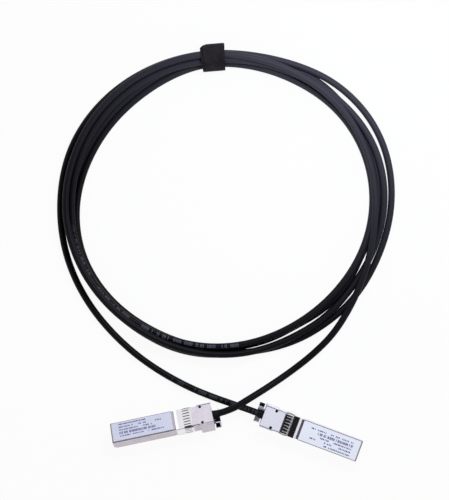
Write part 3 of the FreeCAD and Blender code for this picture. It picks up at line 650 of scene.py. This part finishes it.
@dataclass
class Cable:
    """The jacketed cable, swept along its route.

    Attributes:
        diameter: Outside diameter in metres.
        around: Points round the jacket.
        printed: Stretches that carry marks: degrees turned about the coil's centre, and strength.
        light_way: Which way the painted light grows, in plan.
        length: Length of the line in metres, known once it is built.
        path: Points of the line in metres, known once it is built.
        print_runs: The marked stretches as distances along the line, with their strength.
    """

    diameter: float = 0.0042
    around: int = 20
    printed: Tuple[Point, ...] = ((908.0, 996.0, 1.0), (2052.0, 2081.0, 0.5))
    light_way: Point2 = (0.5, 0.866)
    length: float = field(default=0.0, init=False)
    path: np.ndarray = field(default_factory=lambda: np.empty((0, 3)), init=False)
    print_runs: List[Point] = field(default_factory=list, init=False)

    def build(self) -> bpy.types.Object:
        """Sweep a circle along the route and map it by turn about the axis and distance along the line.

        Returns:
            The cable's piece.
        """
        path = CoilRoute().line()
        run = np.concatenate([[0.0], np.cumsum(np.linalg.norm(np.diff(path, axis=0), axis=1))])
        self.path = path
        self.length = float(run[-1])
        self._find_prints(path, run)
        obj = self._tube(path)
        MeshKit.add_uv(obj, self._map(run))
        return obj

    def _find_prints(self, path: np.ndarray, run: np.ndarray) -> None:
        """Work out where along the line the marked stretches lie.

        Args:
            path: Points of the line.
            run: Distance along the line at each point.
        """
        turned = np.arctan2(path[:, 1] - CoilRoute.centre[1] * MM, path[:, 0] - CoilRoute.centre[0] * MM)
        turned = np.degrees(np.unwrap(turned))
        turned += 360.0 * math.ceil(-turned[0] / 360.0)
        for low, high, strength in self.printed:
            start, end = np.interp([low, high], turned, run)
            self.print_runs.append((float(start), float(end), strength))

    def _tube(self, path: np.ndarray) -> bpy.types.Object:
        """Stand a ring square to the line at each point, its first corner uppermost, and close both ends.

        Args:
            path: Points of the line.

        Returns:
            The cable's piece.
        """
        along = np.gradient(path, axis=0)
        along /= np.linalg.norm(along, axis=1, keepdims=True)
        side = np.cross(along, [0.0, 0.0, 1.0])
        side /= np.linalg.norm(side, axis=1, keepdims=True)
        up = np.cross(side, along)
        turn = np.linspace(0.0, 2 * np.pi, self.around, endpoint=False)
        ring = np.cos(turn)[None, :, None] * up[:, None, :] + np.sin(turn)[None, :, None] * side[:, None, :]
        wall = (path[:, None, :] + ring * (self.diameter / 2)).reshape(-1, 3)
        verts = np.vstack([wall, path[:1], path[-1:]])
        quads = MeshKit.grid_quads(len(path), self.around, wrap_cols=True)
        j = np.arange(self.around)
        k = (j + 1) % self.around
        last = (len(path) - 1) * self.around
        near = np.stack([np.full_like(j, len(wall)), k, j, j], axis=-1)
        far = np.stack([np.full_like(j, len(wall) + 1), last + j, last + k, last + k], axis=-1)
        return MeshKit.from_arrays("cable_jacket", verts, np.vstack([quads, near, far]))

    def _map(self, run: np.ndarray) -> np.ndarray:
        """Map the tube's faces in the order they were made in; the closed ends lie at the map's corner.

        Args:
            run: Distance along the line at each ring.

        Returns:
            Turn about the axis, from 0 to 1, and distance along the line, for each face corner.
        """
        about = np.tile(np.arange(self.around) / self.around, (len(run) - 1, 1))
        beside = about + 1 / self.around
        here = np.tile(run[:-1, None], (1, self.around))
        ahead = np.tile(run[1:, None], (1, self.around))
        pairs = ((about, here), (beside, here), (beside, ahead), (about, ahead))
        corners = np.stack([np.stack(pair, axis=-1) for pair in pairs], axis=2).reshape(-1, 2)
        triangles = 2 * self.around
        return np.vstack([corners, np.zeros((triangles * 3, 2))])

    def material(self) -> bpy.types.Material:
        """Black semi-matt jacket with faint draw lines, painted light that grows towards one side of the coil
        and with height, and, on two stretches, generic marks.

        Returns:
            The material.
        """
        mat = bpy.data.materials.new("jacket_black")
        n = NodeTree.of(mat)
        uv = n.add("ShaderNodeUVMap", uv_map=UV_RUN).outputs[0]
        coords = n.add("ShaderNodeTexCoord").outputs["Object"]
        scales = {"Vector": coords, "Coarse": 25.0, "Fine": 700.0}
        mask = n.add("ShaderNodeGroup", scales, node_tree=Groups.mottle()).outputs[0]
        base = n.mix(mask, linear(4, 3, 6), linear(9, 8, 13))
        # Painted light: a paler blue-grey jacket colour towards one side of the coil and on the higher
        # strands.
        base = n.mix(self._painted_light(n, coords), base, linear(60, 59, 70))
        marks = self._marks(n, uv)
        base = n.mix(n.math("MULTIPLY", marks, 0.55), base, linear(120, 128, 150))
        grain = n.add("ShaderNodeMapping", {"Vector": uv, "Scale": (60.0, 40.0, 1.0)}).outputs[0]
        bump = n.add("ShaderNodeBump", {"Height": n.noise(grain, 1.0), "Distance": 0.00003, "Strength": 0.6})
        rough = n.ramp(mask, 0.0, 1.0, 0.5, 0.4)
        shader = n.add("ShaderNodeBsdfPrincipled", {
            "Base Color": base, "Metallic": 0.0, "Roughness": rough, "Normal": bump.outputs[0],
            "Specular IOR Level": 0.09,
        })
        n.add("ShaderNodeOutputMaterial", {0: shader.outputs[0]})
        return mat

    def _painted_light(self, n: NodeTree, coords: Socket) -> Socket:
        """Painted light on the jacket: it grows by the square to one side, and a little with height.

        Args:
            n: The material's nodes.
            coords: Object coordinates.

        Returns:
            A mask, 1 where the painted light is strongest.
        """
        cx, cy = (c * MM for c in CoilRoute.centre)
        x, y, z = n.split(coords)
        right = n.math("MULTIPLY", n.math("SUBTRACT", x, cx), self.light_way[0])
        way = n.math("MULTIPLY_ADD", n.math("SUBTRACT", y, cy), self.light_way[1], right)
        share = n.ramp(way, -0.060, 0.094)
        # Painted light on the higher strands.
        lift = n.math("MULTIPLY", n.ramp(z, 0.004, 0.014), 0.07)
        return n.math("MULTIPLY_ADD", n.math("MULTIPLY", share, share), 0.9, lift)

    def _marks(self, n: NodeTree, uv: Socket) -> Socket:
        """Short strokes in groups along the top of the marked stretches, like worn print but saying nothing.

        Args:
            n: The material's nodes.
            uv: The jacket's own map: turn about the axis, and distance along it.

        Returns:
            A mask, 1 on a stroke.
        """
        pitch, group_size, half_width = 0.0009, 8, 0.085
        about, along, _ = n.split(uv)
        inside: object = 0.0
        for start, end, strength in self.print_runs:
            rise = n.ramp(along, start - 0.04 * (end - start), start + 0.2 * (end - start))
            begun, going = n.math("GREATER_THAN", along, start), n.math("LESS_THAN", along, end)
            stretch = n.math("MULTIPLY", n.math("MULTIPLY", begun, going), strength)
            inside = n.math("MULTIPLY_ADD", stretch, rise, inside)
        off = n.math("ABSOLUTE", n.math("SUBTRACT", n.math("FRACT", n.math("ADD", about, 0.53)), 0.5))
        inside = n.math("MULTIPLY", inside, n.math("LESS_THAN", off, half_width))
        cell = n.math("MULTIPLY", along, 1.0 / pitch)
        stroke = n.math("LESS_THAN", n.math("ABSOLUTE", n.math("SUBTRACT", n.math("FRACT", cell), 0.5)), 0.28)
        number = n.math("FLOOR", cell)
        group = n.math("MULTIPLY", number, 1.0 / group_size)
        keep = n.math("GREATER_THAN", n.math("FRACT", group), 0.13)
        for seed, left_out in ((number, 0.22), (n.math("FLOOR", group), 0.12)):
            drawn = n.add("ShaderNodeTexWhiteNoise", {"W": seed}, noise_dimensions="1D").outputs[0]
            keep = n.math("MULTIPLY", keep, n.math("GREATER_THAN", drawn, left_out))
        worn = n.ramp(n.noise(uv, 300.0), 0.25, 0.6)
        return n.math("MULTIPLY", n.math("MULTIPLY", inside, stroke), n.math("MULTIPLY", keep, worn))

    def dress(self, strap: bpy.types.Object) -> bpy.types.Object:
        """Args:
            strap: The tie round the coil; not used.

        Returns:
            The cable's piece.
        """
        obj = self.build()
        obj.data.materials.append(self.material())
        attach(obj, "cable")
        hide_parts("cable_lead_a", "cable_coil", "cable_lead_b")
        LOG.info("cable: %.2f m, %d points", self.length, len(self.path))
        return obj


@dataclass
class TieStrap:
    """The hook-and-loop tape round the coil.

    Attributes:
        angle: Where it lies round the coil, in degrees.
        width: Width of the tape in metres.
        inner: Nearest distance from the coil's centre.
        outer: Farthest distance from the coil's centre.
        top: Height of the loop.
        thick: Thickness of the tape.
        step: How far the tape's end stands over the loop.
        corner: Length of the cut corner.
        power: Power of the oval that the loop's section follows: 2 is round, more is squarer.
        around: Points round the loop.
        across: Points across the tape.
        lap: How many of the loop's points the tape's end lies over.
        lap_back: How many of those lie under the loop's outer side.
        waves: Height in metres and rate per metre of the waves along the tape's cut edges.
    """

    angle: float = 94.6
    width: float = 0.0148
    inner: float = 0.0823
    outer: float = 0.0988
    top: float = 0.0140
    thick: float = 0.0009
    step: float = 0.0009
    corner: float = 0.0024
    power: float = 2.8
    around: int = 96
    across: int = 25
    lap: int = 52
    lap_back: int = 6
    waves: Tuple[Point2, ...] = ((0.00009, 2900.0), (0.00006, 7300.0))

    def _section(self) -> np.ndarray:
        """The loop's section: a flat-bottomed rounded hump, from a squarish oval.

        Returns:
            Radial place and height of each point.
        """
        t = np.linspace(0.0, 2 * np.pi, self.around, endpoint=False)
        power = 2.0 / self.power
        half = (self.outer - self.inner) / 2
        x = np.sign(np.cos(t)) * np.abs(np.cos(t)) ** power
        z = np.sign(np.sin(t)) * np.abs(np.sin(t)) ** power
        z = 0.5 + 0.5 * z
        peak = 1.0 - 0.16 * x ** 2
        return np.stack([(self.inner + self.outer) / 2 + half * x, self.top * z * peak], axis=-1)

    def _edges(self, radial: np.ndarray, flap: bool) -> Tuple[np.ndarray, np.ndarray]:
        """Where the tape's two long edges lie: straight lines that close up inwards, one with a cut corner.

        Args:
            radial: Distance from the coil's centre, in metres.
            flap: Whether the edges are those of the end that lies on top.

        Returns:
            Sideways shift of the near and of the far edge, in metres.
        """
        near_taper, far_taper, cut_share = 0.0012, 0.0006, 0.15
        flap_shift, flap_inset, flap_taper = 0.0013, 0.0002, 0.0004
        share = np.clip((self.outer - radial) / (self.outer - self.inner), 0.0, 1.0)
        cut = self.corner * np.clip(1.0 - share / cut_share, 0.0, 1.0)
        wave = sum(size * np.sin(radial * rate) for size, rate in self.waves)
        near = -self.width / 2 + near_taper * share + cut + wave
        far = self.width / 2 + far_taper * (1.0 - share) + wave
        if flap:
            near = near + flap_shift
            far = far - flap_inset - flap_taper * share
        return near, far

    def build(self) -> bpy.types.Object:
        """Carry the section across the tape's width, then lay the tape's end over the top of the loop.

        Returns:
            The strap's piece.
        """
        section = self._section()
        over = section[(np.arange(self.lap) - self.lap_back) % self.around] + np.array([0.0, self.step])
        over[:self.lap_back + 1, 0] += self.step / 2
        share = np.linspace(0.0, 1.0, self.across)[:, None]
        layers: List[np.ndarray] = []
        faces: List[np.ndarray] = []
        for line, flap, start in ((section, False, 0), (over, True, self.around * self.across)):
            near, far = self._edges(line[:, 0], flap)
            tangent = near[None, :] * (1 - share) + far[None, :] * share
            radial = np.broadcast_to(line[None, :, 0], tangent.shape)
            height = np.broadcast_to(line[None, :, 1], tangent.shape)
            layers.append(self._place(radial, tangent, height).reshape(-1, 3))
            faces.append(MeshKit.grid_quads(self.across, len(line), wrap_cols=not flap) + start)
        obj = MeshKit.from_arrays("tie_strap", np.vstack(layers), np.vstack(faces))
        solid = obj.modifiers.new("tape", "SOLIDIFY")
        solid.thickness = self.thick
        solid.offset = -1.0
        return obj

    def _place(self, radial: np.ndarray, tangent: np.ndarray, height: np.ndarray) -> np.ndarray:
        """Put points given by radial distance, sideways shift and height where the strap lies.

        Args:
            radial: Distance from the coil's centre, in metres.
            tangent: Shift along the coil, against its turning, in metres.
            height: Height in metres.

        Returns:
            Points in metres.
        """
        turn = math.radians(self.angle)
        cx, cy = (c * MM for c in CoilRoute.centre)
        x = cx + radial * math.cos(turn) + tangent * math.sin(turn)
        y = cy + radial * math.sin(turn) - tangent * math.cos(turn)
        return np.stack([x, y, height], axis=-1)

    def dress(self) -> bpy.types.Object:
        """Build the strap and give it its cloth.

        Returns:
            The strap's piece.
        """
        obj = self.build()
        finish = Finish(
            "strap_cloth", linear(46, 41, 47), linear(19, 17, 20), rough=(0.85, 0.95), coarse=160.0,
            fine=1800.0, bump=0.00025, sheen=0.01, specular=0.1,
        )
        obj.data.materials.append(finish.material())
        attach(obj, "cable")
        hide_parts("strap")
        return obj


class End(Enum):
    """The two pluggable ends, by where they lie."""

    A = Placement((-0.013889, 0.0065, 0.003923), 191.8, 35.0)
    B = Placement((0.01654, 0.01023, 0.0), -20.5, 0.0)


@dataclass(frozen=True)
class Tones:
    """Colours that differ between the plugs as painted light and shade, since they lie at different turns to
    the light.

    Attributes:
        cast: Light and dark colour of the castings; plug B's are lighter, as painted light.
        film: Light and dark colour of the label; plug B's is lighter, as painted light.
        dip: Painted shade in the cover's groove, deeper on plug B.
        floor: Colour of the recess behind the collar, seen through its slits: painted shadow on plug A,
            painted light on plug B.
        bow: Painted shade line along the collar's bowed fingers.
        ear: Painted shade on part of the slide, where it lies in shadow.
    """

    cast: Tuple[Colour, Colour]
    film: Tuple[Colour, Colour]
    dip: Colour
    floor: Colour
    bow: Stripe
    ear: Stripe


class Plugs:
    """Dresses the plugs' own solids, one finish to each kind of part."""

    # Each plug's copy of these colours carries painted light and shade for how that plug lies to the light.
    tones: Dict[End, Tones] = {
        End.A: Tones(
            cast=(linear(231, 223, 230), linear(212, 204, 211)),
            film=(linear(217, 220, 236), linear(211, 214, 231)),
            dip=linear(186, 180, 184),
            floor=linear(86, 70, 60),
            bow=Stripe(2, 9.75, 10.4, linear(50, 44, 44), 0.4, 0.12, 0.85),
            ear=Stripe(1, 2.9, 6.1, EAR_SHADE, 0.6),
        ),
        End.B: Tones(
            cast=(linear(251, 250, 255), linear(230, 229, 242)),
            film=(linear(243, 246, 255), linear(238, 241, 252)),
            dip=linear(118, 114, 124),
            floor=linear(255, 253, 255),
            bow=Stripe(0, 17.6, 18.6, linear(78, 74, 74), 0.3, 0.2, 0.8),
            ear=Stripe(1, 4.9, 7.0, EAR_SHADE, 0.6),
        ),
    }

    @staticmethod
    def _cover_stripes(tones: Tones) -> Tuple[Stripe, ...]:
        """Say where painted shade and light go on the cover: its groove, its edges and its recess.

        Args:
            tones: The plug's tones.

        Returns:
            The stripes, each over the one before.
        """
        return (
            # Painted shade in the groove, painted shadow lines along the groove's edge, the tip and the
            # label's rim, and painted light and shade on the recess seen through the collar's slits.
            Stripe(0, 23.2, 24.95, tones.dip, 0.3),
            Stripe(0, 23.2, 23.6, EDGE_SHADE, 0.4, 0.08, 0.8),
            Stripe(0, 62.5, 63.4, EDGE_SHADE, 0.5, 0.1, 0.8),
            Stripe(1, -6.7, -6.2, EDGE_SHADE, 0.5, 0.1, 0.85),
            Stripe(1, 6.2, 6.7, EDGE_SHADE, 0.5, 0.1, 0.85),
            Stripe(0, 14.0, 18.3, tones.floor, 0.65),
        )

    def _outside(self, end: End) -> Dict[str, Finish]:
        """Choose the finishes of the parts that show: castings, collar, label and slide.

        Args:
            end: Which plug.

        Returns:
            Finishes by the first part of the solid's name.
        """
        tones, at = self.tones[end], end.value
        cast = (*tones.cast, 0.53, (0.55, 0.65), 140.0, 2600.0)
        # Painted shadow line along the seam where the cover meets the base.
        seam_shade = Stripe(2, 10.5, 11.0, EDGE_SHADE, 0.5, 0.1, 0.7)
        turned = Stripe(0, 21.8, 23.6, linear(252, 250, 252), 0.6)
        steel = (linear(244, 242, 243), linear(222, 220, 222), 1.0, (0.08, 0.14))
        sheet = (linear(228, 226, 240), linear(190, 188, 202), 1.0, (0.4, 0.52))
        cover = self._cover_stripes(tones)
        return {
            "housing_base": Finish("cast_base", *cast, 0.00003, place=at, stripes=(seam_shade,)),
            "housing_cover": Finish("cast_cover", *cast, 0.00002, place=at, stripes=cover),
            # The bow stripe is painted shade over a reflection on the collar's fingers.
            "emi_collar": Finish("sprung_steel", *steel, place=at, stripes=(turned, tones.bow)),
            "label": Finish("label_film", *tones.film, 0.0, (0.42, 0.5), bump=0.000005),
            # The ear stripe is painted shade on part of the slide.
            "release_slide": Finish("slide_sheet", *sheet, place=at, brushed=True, stripes=(tones.ear,)),
        }

    def finishes(self, end: End) -> Dict[str, Finish]:
        """Choose each part's finish.

        Args:
            end: Which plug.

        Returns:
            Finishes by the first part of the solid's name.
        """
        at = {"place": end.value}
        strip = {"place": end.value, "brushed": True}
        # Part, finish, light colour, dark colour, metallic, roughness, and whatever else the finish has.
        rows = (
            ("cover_screws", "dark_screw", (70, 70, 76), (40, 40, 44), 1.0, (0.35, 0.5), at),
            ("latch_arm", "latch_cast", (190, 190, 196), (150, 150, 156), 1.0, (0.3, 0.4), at),
            ("latch_pin", "ground_pin", (205, 205, 210), (180, 180, 186), 1.0, (0.2, 0.28), at),
            ("leaf_spring", "spring_strip", (210, 208, 204), (170, 168, 164), 1.0, (0.2, 0.3), strip),
            ("paddle_card", "solder_mask", (24, 88, 54), (14, 62, 38), 0.0, (0.25, 0.35), {"coat": 0.3}),
            ("card_contacts", "gold_plate", (236, 196, 110), (206, 160, 80), 1.0, (0.2, 0.3), {}),
            ("memory_chip", "chip_mould", (40, 40, 42), (26, 26, 28), 0.0, (0.5, 0.6), {}),
            ("capacitors", "ceramic", (168, 132, 98), (140, 106, 76), 0.0, (0.4, 0.5), {}),
            ("wire_pairs", "foil_wrap", (206, 208, 214), (168, 170, 178), 0.6, (0.3, 0.4), {}),
            ("crimp_ferrule", "crimped_brass", (190, 160, 100), (150, 120, 70), 1.0, (0.25, 0.4), {}),
            ("cable_boot", "boot_rubber", (17, 17, 19), (9, 9, 11), 0.0, (0.6, 0.75), {"specular": 0.12}),
        )
        out = self._outside(end)
        for kind, name, light, dark, metallic, rough, more in rows:
            out[kind] = Finish(name, linear(*light), linear(*dark), metallic, rough, **more)
        return out

    def dress(self, nodes: Dict[str, bpy.types.Object]) -> None:
        """Give every solid of both plugs its material.

        Args:
            nodes: The frame's solids by name.
        """
        for end, tail in ((End.A, "_a"), (End.B, "_b")):
            for kind, finish in self.finishes(end).items():
                node = nodes[kind + tail]
                mat = finish.material()
                if not node.material_slots:
                    node.data.materials.append(mat)
                for slot in node.material_slots:
                    slot.material = mat
                LOG.info("%s: %s", node.name, finish.name)


@dataclass
class LabelPrint:
    """Rows of plain blocks on a plug's label, where a factory label has its words: they say nothing.

    Attributes:
        end: Which plug.
        tip: The plug's tip, along its length, in millimetres.
        face: Height of the label's face.
        rows: For each row: its place across the plug, the blocks' height, and the stretches from the tip.
        pitch: Distance from one block to the next.
        gap: Clear height between the label and the ink.
        thick: Thickness of the ink.
        tall: Height above which a row is set as even, narrow bars.
    """

    end: End
    tip: float = 63.2
    face: float = 10.9
    rows: Tuple[Tuple[float, float, Tuple[Point2, ...]], ...] = (
        (-4.75, 1.0, ((5.2, 22.0),)),
        (-2.75, 1.0, ((5.2, 14.0), (17.5, 22.5), (28.0, 31.5))),
        (-0.8, 1.0, ((5.2, 16.8), (20.0, 26.0))),
        (1.3, 1.6, ((5.0, 27.5),)),
        (3.4, 1.0, ((5.2, 19.5), (23.0, 32.5))),
    )
    pitch: float = 1.0
    gap: float = 0.004
    thick: float = 0.012
    tall: float = 1.2

    def _blocks(self) -> np.ndarray:
        """Choose the blocks: lengths vary about the pitch, and some are left out.

        Returns:
            Lowest and highest corner of each block, in millimetres: x0, x1, y0, y1.
        """
        chance = np.random.default_rng({End.A: 41, End.B: 77}[self.end])
        out: List[np.ndarray] = []
        for across, height, spans in self.rows:
            bars = height > self.tall
            spacing, left_out = (0.62, 0.2) if bars else (1.0, 0.08)
            for near, far in spans:
                edge = np.arange(near, far, self.pitch * spacing)
                wide = (edge[1] - edge[0]) * chance.uniform(0.45, 0.85, edge.shape)
                share = np.ones(edge.shape) if bars else chance.uniform(0.75, 1.0, edge.shape)
                keep = chance.uniform(0.0, 1.0, edge.shape) > left_out
                x1, half = self.tip - edge, height * share / 2
                out.append(np.stack([x1 - wide, x1, across - half, across + half], axis=-1)[keep])
        return np.vstack(out)

    def dress(self) -> bpy.types.Object:
        """Build the blocks as thin boxes on the label.

        Returns:
            The print's piece.
        """
        box = self._blocks()
        low = np.full(len(box), self.face + self.gap)
        high = low + self.thick
        round_box = ((0, 2), (1, 2), (1, 3), (0, 3))
        corners = [(box[:, i], box[:, j], z) for z in (low, high) for i, j in round_box]
        verts = np.stack([np.stack(c, axis=-1) for c in corners], axis=1).reshape(-1, 3) * MM
        face = np.array([[3, 2, 1, 0], [4, 5, 6, 7], [0, 1, 5, 4], [1, 2, 6, 5], [2, 3, 7, 6], [3, 0, 4, 7]])
        quads = (np.arange(len(box))[:, None, None] * len(round_box) * 2 + face[None]).reshape(-1, 4)
        tail = self.end.name.lower()
        obj = MeshKit.from_arrays("label_print_" + tail, self.end.value.put(verts), quads, smooth=False)
        blue, deep = linear(96, 100, 150), linear(66, 70, 124)
        ink = Finish("ink_" + tail, blue, deep, 0.0, (0.5, 0.6), bump=0.000002)
        obj.data.materials.append(ink.material())
        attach(obj, "cable")
        return obj


@dataclass
class Studio:
    """Pale floor, soft light and the camera straight above.

    Attributes:
        floor_half: Half the floor's side, in metres.
        floor_z: Height of the floor, just under the part.
        floor_glow: How much of the floor's white is its own, as seen by the camera.
        overhead: Heights, from 0 to 1, between which the tent turns dark.
        aim: What the lamp looks at.
        view: Where the camera hangs, in metres.
        span: Width that the camera sees at the floor.
        sensor: Width of the camera's sensor, in millimetres.
    """

    floor_half: float = 3.0
    floor_z: float = -0.0001
    floor_glow: float = 0.93
    overhead: Point2 = (0.80, 0.90)
    aim: Point = (0.0, 0.1, 0.0)
    view: Point = (-0.00736, 0.11223, 0.9)
    span: float = 0.3117
    sensor: float = 36.0

    def floor(self) -> None:
        """Lay a white floor that stays white to the eye and in reflections, and keeps a light shadow."""
        half, z = self.floor_half, self.floor_z
        corners = np.array([[-half, -half, z], [half, -half, z], [half, half, z], [-half, half, z]])
        obj = MeshKit.from_arrays("floor", corners, np.array([[0, 1, 2, 3]]), smooth=False)
        mat = bpy.data.materials.new("floor_white")
        n = NodeTree.of(mat)
        path = n.add("ShaderNodeLightPath")
        seen = n.math("ADD", path.outputs["Is Camera Ray"], path.outputs["Is Glossy Ray"])
        seen = n.math("ADD", seen, path.outputs["Is Transmission Ray"], clamp=True)
        diffuse = n.add("ShaderNodeBsdfDiffuse", {"Color": (0.8, 0.8, 0.8, 1.0)})
        glow = n.add("ShaderNodeEmission", {"Color": (1.0, 1.0, 1.0, 1.0), "Strength": 1.0})
        share = n.math("MULTIPLY", seen, self.floor_glow)
        mix = n.add("ShaderNodeMixShader", {0: share, 1: diffuse.outputs[0], 2: glow.outputs[0]})
        n.add("ShaderNodeOutputMaterial", {0: mix.outputs[0]})
        obj.data.materials.append(mat)

    def world(self) -> None:
        """Light from all round and dark straight overhead, as under a camera in a tent."""
        world = bpy.data.worlds.new("tent")
        bpy.context.scene.world = world
        n = NodeTree.of(world)
        coords = n.add("ShaderNodeTexCoord").outputs["Generated"]
        dark = n.ramp(n.split(coords)[2], *self.overhead)
        colour = n.mix(dark, (0.97, 0.97, 1.0), (0.015, 0.015, 0.018))
        path = n.add("ShaderNodeLightPath")
        seen = n.math("ADD", path.outputs["Is Glossy Ray"], path.outputs["Is Transmission Ray"], clamp=True)
        plain, extra = 0.82, 0.16
        level = n.math("MULTIPLY_ADD", seen, extra, plain)
        back = n.add("ShaderNodeBackground", {"Color": colour, "Strength": level})
        n.add("ShaderNodeOutputWorld", {0: back.outputs[0]})

    def lamp(self, name: str, place: Point, size: float, power: float, colour: Colour) -> None:
        """Hang a soft square lamp over the part.

        Args:
            name: The lamp's name.
            place: Where it hangs, in metres.
            size: Side of the square.
            power: Power in watts.
            colour: Its colour.
        """
        data = bpy.data.lights.new(name, "AREA")
        data.energy = power
        data.size = size
        data.color = colour
        obj = put_in_scene(name, data)
        obj.location = place
        obj.rotation_euler = (Vector(self.aim) - Vector(place)).to_track_quat("-Z", "Y").to_euler()

    def camera(self) -> None:
        """Look straight down from where the camera hangs, square to the part."""
        data = bpy.data.cameras.new("camera")
        data.sensor_width = self.sensor
        data.lens = self.sensor * self.view[2] / self.span
        data.clip_end = 20.0
        obj = put_in_scene("camera", data)
        obj.location = self.view
        bpy.context.scene.camera = obj

    def build(self) -> None:
        """Set up the floor, the world, the lamp and the camera."""
        self.floor()
        self.world()
        self.lamp("key", place=(0.10, 0.26, 0.32), size=0.12, power=0.8, colour=(0.86, 0.9, 1.0))
        self.camera()
        bpy.context.scene.view_settings.view_transform = "Standard"


def main() -> None:
    """Load the solids, dress them, and set up the studio."""
    logging.basicConfig(level=logging.INFO)
    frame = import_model()
    Studio().build()
    strap = TieStrap().dress()
    Cable().dress(strap)
    Plugs().dress(frame["nodes"])
    for end in End:
        LOG.info("label print: %s", LabelPrint(end).dress().name)


if __name__ == "__main__":
    main()
